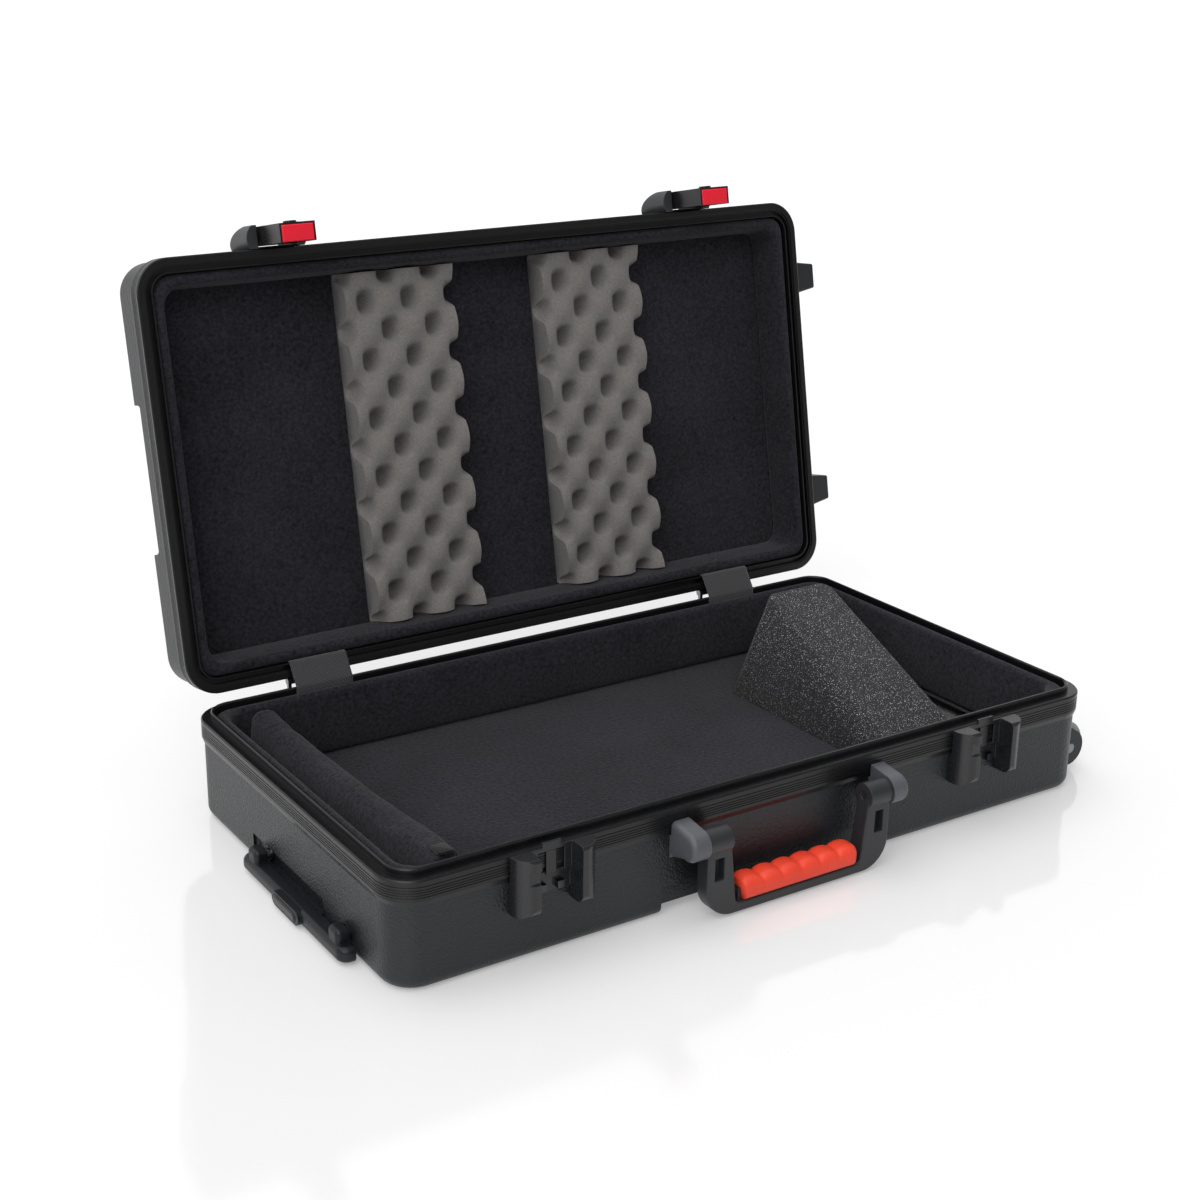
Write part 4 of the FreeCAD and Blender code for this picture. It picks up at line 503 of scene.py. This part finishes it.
def lining_profile(wall, foot, bulge):
    """Profile of a padded wall: up its back, over a rolled edge and down its swelling face."""
    start, top_width, foot_width, top = wall
    up = 1 if top > foot else -1
    inner = start + top_width
    back_corner = OUTER_CORNER - start
    points = [(start, back_corner, foot), (start, back_corner, (top + foot) / 2)]
    middle = start + top_width / 2
    for k in range(9):
        turn = math.pi * k / 8
        share = 0.5 - 0.5 * math.cos(turn)
        corner = back_corner + (INNER_CORNER + CORNER_EASE - back_corner) * share
        points.append((middle - math.cos(turn) * top_width / 2, corner,
                       top - up * WALL_ROLL * (1 - math.sin(turn))))
    for k in range(1, 9):
        share = k / 8
        wide = inner + (foot_width - top_width) * share + bulge * math.sin(math.pi * share) * 0.8
        points.append((wide, INNER_CORNER - CORNER_EASE * share,
                       top - up * WALL_ROLL + (foot - top + up * WALL_ROLL) * share))
    return points


def pad_out(bm, front, wobble, pleat, seed):
    """Makes a lining uneven, with gathers at its corners, on the faces that show."""
    for v in bm.verts:
        inset = min(HALF_L - abs(v.co.x), HALF_W - abs(v.co.y))
        if inset < front:
            continue
        soft = min(1.0, (inset - front) / (6 * MM))
        near = noise.noise(v.co * 14 + Vector((seed, 0, 0)))
        fine = noise.noise(v.co * 45 + Vector((0, seed, 0)))
        shift = wobble * soft * (near + 0.35 * fine)
        corner_x = max(0.0, abs(v.co.x) - (HALF_L - GATHER_REACH)) / GATHER_REACH
        corner_y = max(0.0, abs(v.co.y) - (HALF_W - GATHER_REACH)) / GATHER_REACH
        gather = min(corner_x, corner_y)
        if gather > 0:
            angle = math.atan2(corner_y, corner_x)
            shift += pleat * soft * gather * 1.6 * math.sin(angle * GATHERS)
        v.co -= v.normal * shift * 0.6


def ride_lid(piece):
    """Turns a piece modelled on the closed lid to its open place, where it rides."""
    piece.data.transform(LID_TURN)
    piece.data.update()
    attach(piece, "lid")


def drape_pressure(piece, pressure, frames, reach):
    """Swells a pad by cloth pressure for a few frames, and by no more than a reach."""
    before = [v.co.copy() for v in piece.data.vertices]
    cloth = piece.modifiers.new("Swell", "CLOTH")
    cloth.settings.use_pressure = True
    cloth.settings.uniform_pressure_force = pressure
    cloth.settings.effector_weights.gravity = 0
    cloth.settings.quality = 6
    scene = bpy.context.scene
    cloth.point_cache.frame_end = frames
    for number in range(1, frames + 1):
        scene.frame_set(number)
    depsgraph = bpy.context.evaluated_depsgraph_get()
    swollen = [v.co.copy() for v in piece.evaluated_get(depsgraph).data.vertices]
    piece.modifiers.remove(cloth)
    scene.frame_set(1)
    for v, old, new in zip(piece.data.vertices, before, swollen):
        move = new - old
        v.co = old + (move if move.length <= reach else move.normalized() * reach)
    piece.data.update()


def padded_board(board, back, face, seed):
    """A flat padded board with a slightly uneven face, between the heights of its back and its face."""
    start, end, half_width = board
    bm = bmesh.new()
    bmesh.ops.create_grid(bm, x_segments=76, y_segments=40, size=0.5)
    bmesh.ops.scale(bm, verts=bm.verts, vec=(end - start, 2 * half_width, 1))
    bmesh.ops.translate(bm, verts=bm.verts, vec=((start + end) / 2, 0, face))
    away = 1 if back > face else -1
    for v in bm.verts:
        dip = noise.noise(Vector((v.co.x * 18, v.co.y * 18, seed))) + 0.4 * noise.noise(
            Vector((v.co.x * 60, v.co.y * 60, seed)))
        v.co.z += away * BOARD_UNEVEN * (0.5 + 0.5 * dip)
    close_back(bm, back)
    return bm


class CASE_OT_finishes(bpy.types.Operator):
    """Gives the shells, rims, latches, handles and wheels their finishes"""

    bl_idname = "hard_case.finishes"
    bl_label = "Shells and hardware"

    def execute(self, context):
        trim = context.scene.case_trim
        shell = grained_shell(trim.shell)
        dress(shell, "base_shell", "lid_shell")
        dress(anodised_rim(trim.rim), "base_rim", "lid_rim")
        grey = moulded_plastic("Glass-filled nylon, mounts", scaled(trim.hardware, 0.6), 0.4, edge=0.8)
        dress(grey, "latch_mount_left", "latch_mount_right")
        dress(moulded_plastic("Glass-filled nylon, catches", scaled(trim.hardware, 0.28), 0.26, edge=1.0),
              "latch_catch_left", "latch_catch_right")
        dress(moulded_plastic("Glass-filled nylon, lugs", scaled(trim.hardware, 1.8), 0.42, edge=1.5),
              "handle_lug_left", "handle_lug_right")
        dress(moulded_plastic("Nylon handle, moulded", scaled(trim.hardware, 0.45), 0.44, edge=1.8),
              "handle_bail")
        black = moulded_plastic("ABS, satin black", trim.lever, 0.28, edge=0.8, gloss=0.4)
        dress(black, "latch_lever_left", "latch_lever_right", "lock_plug_left", "lock_plug_right",
              "trolley_button", "trolley_bushes", "trolley_end_block")
        dress(moulded_plastic("Nylon trolley grip, moulded", scaled(trim.shell, 0.9), 0.4, edge=0.8,
                              gloss=0.35), "trolley_bar")
        feet = moulded_plastic("Polyethylene feet, moulded", trim.shell, 0.45, edge=0.8)
        dress(feet, "lid_foot_front", "lid_foot_rear", "wheel_housing_front", "wheel_housing_rear")
        red = moulded_plastic("ABS, glossy red", trim.button, 0.3, edge=1.4, gloss=0.45)
        dress(red, "latch_button_left", "latch_button_right")
        steel = bare_metal("Zinc-plated steel", "#8A8C90", 0.3)
        dress(steel, "latch_pins", "handle_pins", "wheel_axles", "hinge_base_leaves", "hinge_lid_leaves",
              "hinge_pins", "hinge_base_rivets", "hinge_lid_rivets")
        dress(bare_metal("Blackened steel", "#4A4C50", 0.3), "catch_posts")
        dress(bare_metal("Anodised aluminium tube", "#C4C6C9", 0.32), "trolley_tubes", "trolley_sleeves")
        dress(moulded_plastic("Polyurethane tyre", linear("#9A9D9C"), 0.5),
              "wheel_tyre_front", "wheel_tyre_rear")
        dress(moulded_plastic("Nylon wheel hub", linear("#2C2E31"), 0.45, edge=0.6),
              "wheel_hub_front", "wheel_hub_rear")
        return {"FINISHED"}


class CASE_OT_linings(bpy.types.Operator):
    """Makes the plush linings of the base and lid, the padded floor and the lid's panel"""

    bl_idname = "hard_case.linings"
    bl_label = "Linings"

    def execute(self, context):
        lining = context.scene.case_lining
        plush = shared_plush(context.scene)
        base = ring_along_case(lining_profile(BASE_WALL, FLOOR_TOP, lining.bulge), WALL_STEP)
        pad_out(base, BASE_SHOWS, lining.wobble, lining.pleat, 3.1)
        for v in base.verts:
            beside_well = WELL_SIDES[0] < abs(v.co.y) < WELL_SIDES[1]
            at_well = v.co.x > WELL_START and beside_well and v.co.z < WELL_TOP
            if at_well and HALF_L - v.co.x < WELL_INSET:
                v.co.x = HALF_L - WELL_INSET
            # The lid's lining closes just over the top of this one
            v.co.z = min(v.co.z, BASE_WALL[3])
        ring = make_piece(base, "base_lining", plush)
        soften(ring, 1)
        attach(ring, "base")
        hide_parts("base_wall_lining")

        lid = ring_along_case(lining_profile(LID_WALL, LID_PANEL, lining.bulge), WALL_STEP)
        pad_out(lid, LID_SHOWS, lining.wobble, lining.pleat, 7.7)
        ring = make_piece(lid, "lid_lining", plush)
        soften(ring, 1)
        ride_lid(ring)
        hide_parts("lid_wall_lining")

        panel = padded_board(LID_BOARD, LID_BACK, LID_PANEL + BOARD_CLEAR, 2.4)
        panel = make_piece(panel, "lid_panel", plush)
        ride_lid(panel)
        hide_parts("lid_back_panel")

        floor = padded_board(FLOOR_BOARD, FLOOR_BACK, FLOOR_TOP - BOARD_CLEAR, 5.9)
        floor = make_piece(floor, "floor_pad", plush)
        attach(floor, "base")
        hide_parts("base_floor_pad")
        return {"FINISHED"}


class CASE_OT_divider(bpy.types.Operator):
    """Makes the compartment's padded divider and its hook tape"""

    bl_idname = "hard_case.divider"
    bl_label = "Divider"

    def execute(self, context):
        plush = shared_plush(context.scene)
        low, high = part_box("divider_pad")
        bm = filled_box(low, high)
        for v in bm.verts:
            if v.co.z > high.z - 1 * MM and v.co.x < (low.x + high.x) / 2:
                v.co.x += DIVIDER_LEAN
        upper = [e for e in bm.edges if min(v.co.z for v in e.verts) > high.z - 1 * MM
                 and abs(e.verts[0].co.y - e.verts[1].co.y) > 0.1]
        round_edges(bm, upper, DIVIDER_ROUND, 5)
        long_edges = [e for e in bm.edges if abs(e.verts[0].co.y - e.verts[1].co.y) > 0.1]
        bmesh.ops.subdivide_edges(bm, edges=long_edges, cuts=60)
        tall = [e for e in bm.edges if e.calc_length() > 15 * MM]
        bmesh.ops.subdivide_edges(bm, edges=tall, cuts=5, use_grid_fill=True)
        for v in bm.verts:
            share = (v.co.z - low.z) / (high.z - low.z)
            along = v.co.y / high.y
            uneven = noise.noise(v.co * 22) + 0.4 * noise.noise(v.co * 60)
            pleat = math.exp(-((v.co.y - DIVIDER_PLEAT_AT) / DIVIDER_PLEAT_WIDTH) ** 2)
            v.co.z -= share ** 3 * MM * (DIVIDER_SAG * (1 - along * along) + DIVIDER_PLEAT * pleat
                                         + DIVIDER_TOP_UNEVEN * (uneven + 1) * 0.5)
            v.co.x += share * MM * (DIVIDER_SIDE_UNEVEN * uneven - DIVIDER_BOW * math.sin(2.2 * along))
        piece = make_piece(bm, "divider", plush)
        drape_pressure(piece, 4, 20, DIVIDER_SWELL)
        for v in piece.data.vertices:
            v.co.z = max(low.z, min(high.z, v.co.z))
            v.co.y = max(low.y, min(high.y, v.co.y))
        soften(piece, 1)
        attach(piece, "base")
        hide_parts("divider_pad")

        low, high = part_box("divider_hook_tape")
        tape = filled_box(low, high)
        upright = [e for e in tape.edges if abs(e.verts[0].co.z - e.verts[1].co.z) > 1e-4]
        round_edges(tape, upright, 2.5 * MM, 4)
        top = [e for e in tape.edges if all(v.co.z > high.z - 1e-5 for v in e.verts)]
        round_edges(tape, top, 0.5 * MM, 2)
        hooks = woven_cloth("Nylon hook tape", linear("#141416"), 1.6)
        patch = make_piece(tape, "hook_tape", hooks)
        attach(patch, "base")
        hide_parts("divider_hook_tape")
        return {"FINISHED"}


class CASE_OT_foam(bpy.types.Operator):
    """Makes the convoluted foam strips in the lid and the loose foam wedge"""

    bl_idname = "hard_case.foam"
    bl_label = "Foam"

    def execute(self, context):
        foam = context.scene.case_foam
        # The strips get a few painted glints: pale specks in the colour for light off the cells.
        grey = open_foam("Polyurethane foam, convoluted", foam.grey, 0.1, 0.16)
        for name, centre in STRIP_PLACES.items():
            bm = bmesh.new()
            bmesh.ops.create_grid(bm, x_segments=60, y_segments=172, size=0.5)
            bmesh.ops.scale(bm, verts=bm.verts, vec=(2 * STRIP_HALF_W, 2 * STRIP_HALF_L, 1))
            for v in bm.verts:
                across = math.cos(2 * math.pi * (v.co.x / foam.pitch + 0.25))
                wave = across * math.cos(math.pi * v.co.y / foam.row)
                share = min(1.0, max(0.0, (wave - PIT_START) / PIT_SPAN))
                pit = share * share * (3 - 2 * share)
                dome = 0.5 + 0.5 * wave
                v.co.z = LID_PANEL - foam.thickness + foam.swell * dome + foam.depth * pit
            close_back(bm, LID_PANEL - 0.1 * MM)
            bmesh.ops.translate(bm, verts=bm.verts, vec=(centre, 0, 0))
            strip = make_piece(bm, "convoluted_strip_" + name, grey)
            ride_lid(strip)
            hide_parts("foam_strip_" + name)

        bm = bmesh.new()
        low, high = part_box("foam_wedge")
        bmesh.ops.create_cube(bm, size=1)
        for v in bm.verts:
            back, top = v.co.y > 0, v.co.z > 0
            reach = WEDGE_TOP_HALF if top else (high.x - low.x) / 2
            v.co.x = (low.x + high.x) / 2 + math.copysign(reach, v.co.x)
            v.co.y = high.y if back else low.y
            v.co.z = high.z if top and back else low.z + (WEDGE_TOE if top else WEDGE_CLEAR)
        rising = [e for e in bm.edges if all(v.co.y > 0 for v in e.verts)
                  and abs(e.verts[0].co.z - e.verts[1].co.z) > 30 * MM]
        round_edges(bm, rising, WEDGE_ROUND, 6)
        sharp = [e for e in bm.edges if e.calc_face_angle(0) > 0.5
                 and max(v.co.z for v in e.verts) > WEDGE_FOOT]
        round_edges(bm, sharp, WEDGE_EDGE, 3)
        # The wedge gets many painted glints: pale specks in the colour for light off the cells.
        charcoal = open_foam("Polyurethane foam, charcoal", foam.charcoal, 0.9, 0.7)
        wedge = make_piece(bm, "wedge", charcoal)
        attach(wedge, "base")
        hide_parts("foam_wedge")
        return {"FINISHED"}


class CASE_OT_flaps(bpy.types.Operator):
    """Makes the cloth strips that cover the hinges"""

    bl_idname = "hard_case.flaps"
    bl_label = "Hinge covers"

    def execute(self, context):
        cloth = woven_cloth("Polyester tape, woven", linear("#474648"), 1.8)
        # From behind the base's lining, up over its edge, across to the lid's edge and in behind
        # the lid's lining
        tuck, crest = Vector((0, 164.6 * MM, 85.4 * MM)), Vector((0, 165 * MM, 91.2 * MM))
        lid_edge = LID_TURN @ Vector((0, 163.4 * MM, 85.7 * MM))
        lid_in = LID_TURN @ Vector((0, 162.6 * MM, 88.5 * MM))
        route = [tuck, crest, lid_edge, lid_in]
        spans = [(b - a).length for a, b in zip(route, route[1:])]
        for name, x in COVER_PLACES.items():
            bm = bmesh.new()
            bmesh.ops.create_grid(bm, x_segments=16, y_segments=40, size=0.5)
            for v in bm.verts:
                along = (v.co.y + 0.5) * sum(spans)
                k = 0
                while k < 2 and along > spans[k]:
                    along -= spans[k]
                    k += 1
                point = route[k].lerp(route[k + 1], min(1, along / spans[k]))
                v.co = Vector((x + v.co.x * COVER_WIDTH, point.y, point.z))
            for _ in range(4):
                bmesh.ops.smooth_vert(bm, verts=[v for v in bm.verts if not v.is_boundary], factor=0.5,
                                      use_axis_x=False, use_axis_y=True, use_axis_z=True)
            flap = make_piece(bm, "hinge_cover_" + name, cloth)
            wall = flap.modifiers.new("Cloth", "SOLIDIFY")
            wall.thickness = COVER_THICK
            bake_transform(flap)
            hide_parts("hinge_flap_" + name)
        return {"FINISHED"}


class CASE_OT_grip(bpy.types.Operator):
    """Makes the soft red grip on the carry handle"""

    bl_idname = "hard_case.grip"
    bl_label = "Grip"

    def execute(self, context):
        trim = context.scene.case_trim
        rubber = moulded_plastic("Thermoplastic rubber, red", trim.grip, 0.5, grit=0.8, relief=0.05)
        low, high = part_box("handle_grip")
        middle = (low + high) / 2
        bm = filled_box(low, high)
        lengthwise = [e for e in bm.edges if abs(e.verts[0].co.x - e.verts[1].co.x) > 0.05]
        round_edges(bm, lengthwise, GRIP_ROUND, 6)
        along = [e for e in bm.edges if abs(e.verts[0].co.x - e.verts[1].co.x) > 0.05]
        bmesh.ops.subdivide_edges(bm, edges=along, cuts=72)
        pitch = (high.x - low.x) / trim.bumps
        for v in bm.verts:
            share = (v.co.x - low.x) / pitch
            across = 2 * (share - math.floor(share)) - 1
            dip = 1 - math.sqrt(max(0.0, 1 - (0.96 * across) ** 2))
            up = max(0.0, (v.co.z - low.z) / (high.z - low.z) - GRIP_BAND) / (1 - GRIP_BAND)
            v.co.z -= GRIP_DIP * dip * up
            v.co.y += (middle.y - v.co.y) * 0.3 * dip * up
            v.co.x += (middle.x - v.co.x) * 0.05 * (1 - up)
        grip = make_piece(bm, "soft_grip", rubber)
        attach(grip, "carry_handle")
        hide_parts("handle_grip")
        return {"FINISHED"}


class CASE_OT_stage(bpy.types.Operator):
    """Sets up the floor, the light and the camera"""

    bl_idname = "hard_case.stage"
    bl_label = "Studio"

    def execute(self, context):
        scene = context.scene
        stage = scene.case_stage
        scene.view_settings.view_transform = "Standard"
        bm = bmesh.new()
        bmesh.ops.create_grid(bm, x_segments=1, y_segments=1, size=FLOOR_HALF)
        mesh = bpy.data.meshes.new("studio_floor")
        bm.to_mesh(mesh)
        bm.free()
        floor = bpy.data.objects.new("studio_floor", mesh)
        scene.collection.objects.link(floor)
        # Glossy white board: bright to the eye, with a faint mirror image at its foot
        material, tree, shader, _ = start_material("White acrylic board", Base_Color=linear("#DCDCDC"),
                                                   Roughness=0.08, Specular_IOR_Level=0.8)
        rays = add_node(tree, "ShaderNodeLightPath", {}).outputs
        seen = rays["Is Camera Ray"]
        for other in ("Is Glossy Ray", "Is Transmission Ray"):
            seen = add_node(tree, "ShaderNodeMath", {0: seen, 1: rays[other]},
                            operation="MAXIMUM").outputs["Value"]
        glow = add_node(tree, "ShaderNodeMath", {0: seen, 1: stage.glow}, operation="MULTIPLY")
        shader.inputs["Emission Color"].default_value = (1, 1, 1, 1)
        tree.links.new(glow.outputs["Value"], shader.inputs["Emission Strength"])
        mesh.materials.append(material)

        world = bpy.data.worlds.new("Studio")
        scene.world = world
        world.use_nodes = True
        back = world.node_tree.nodes["Background"]
        # A white backdrop behind the case and a dimmer room in front of it
        way = add_node(world.node_tree, "ShaderNodeTexCoord", {}).outputs["Generated"]
        parts = add_node(world.node_tree, "ShaderNodeSeparateXYZ", {"Vector": way})
        level = add_node(world.node_tree, "ShaderNodeMapRange",
                         {"Value": parts.outputs["Y"], "From Min": -0.6, "From Max": 0.8,
                          "To Min": stage.room, "To Max": stage.backdrop}, interpolation_type="SMOOTHSTEP")
        back.inputs["Color"].default_value = (1, 1, 1, 1)
        world.node_tree.links.new(level.outputs["Result"], back.inputs["Strength"])

        for name, towards, spread, energy in (
                ("Soft light, front left", (-0.55, -0.55, 0.63), 50, stage.key),
                ("Soft light, overhead", (-0.15, 0.1, 1), 60, stage.top)):
            data = bpy.data.lights.new(name, "SUN")
            data.energy = energy
            data.angle = math.radians(spread)
            lamp = bpy.data.objects.new(name, data)
            lamp.rotation_euler = Vector(towards).to_track_quat("Z", "Y").to_euler()
            scene.collection.objects.link(lamp)

        data = bpy.data.cameras.new("Camera")
        data.lens = stage.lens
        data.sensor_width = 36
        data.shift_x, data.shift_y = CAMERA_SHIFT
        data.clip_start, data.clip_end = 0.01, 100
        back = Vector((math.sin(stage.azimuth) * math.cos(stage.elevation),
                       -math.cos(stage.azimuth) * math.cos(stage.elevation), math.sin(stage.elevation)))
        camera = bpy.data.objects.new("Camera", data)
        camera.location = CAMERA_TARGET + back * stage.distance
        camera.rotation_euler = (-back).to_track_quat("-Z", "Y").to_euler()
        scene.collection.objects.link(camera)
        scene.camera = camera
        return {"FINISHED"}


class CASE_PT_panel(bpy.types.Panel):
    """Lists the case's pieces and settings"""

    bl_idname = "CASE_PT_panel"
    bl_label = "Hard case"
    bl_space_type = "VIEW_3D"
    bl_region_type = "UI"
    bl_category = "Hard case"

    def draw(self, context):
        for operator in OPERATORS:
            self.layout.operator(operator.bl_idname)
        for key in SETTINGS:
            column = self.layout.column()
            group = getattr(context.scene, key)
            for name in group.__annotations__:
                column.prop(group, name)


OPERATORS = (CASE_OT_finishes, CASE_OT_linings, CASE_OT_divider, CASE_OT_foam, CASE_OT_flaps, CASE_OT_grip,
             CASE_OT_stage)
SETTINGS = {"case_lining": LiningSettings, "case_foam": FoamSettings, "case_trim": TrimSettings,
            "case_stage": StageSettings}


def register():
    for group in SETTINGS.values():
        bpy.utils.register_class(group)
    for operator in OPERATORS:
        bpy.utils.register_class(operator)
    bpy.utils.register_class(CASE_PT_panel)
    for key, group in SETTINGS.items():
        setattr(bpy.types.Scene, key, PointerProperty(type=group))


def unregister():
    for key in SETTINGS:
        delattr(bpy.types.Scene, key)
    for item in (CASE_PT_panel, *reversed(OPERATORS), *reversed(SETTINGS.values())):
        bpy.utils.unregister_class(item)


def main():
    register()
    bpy.ops.hard_case.finishes()
    bpy.ops.hard_case.linings()
    bpy.ops.hard_case.divider()
    bpy.ops.hard_case.foam()
    bpy.ops.hard_case.flaps()
    bpy.ops.hard_case.grip()
    bpy.ops.hard_case.stage()


if __name__ == "__main__":
    main()
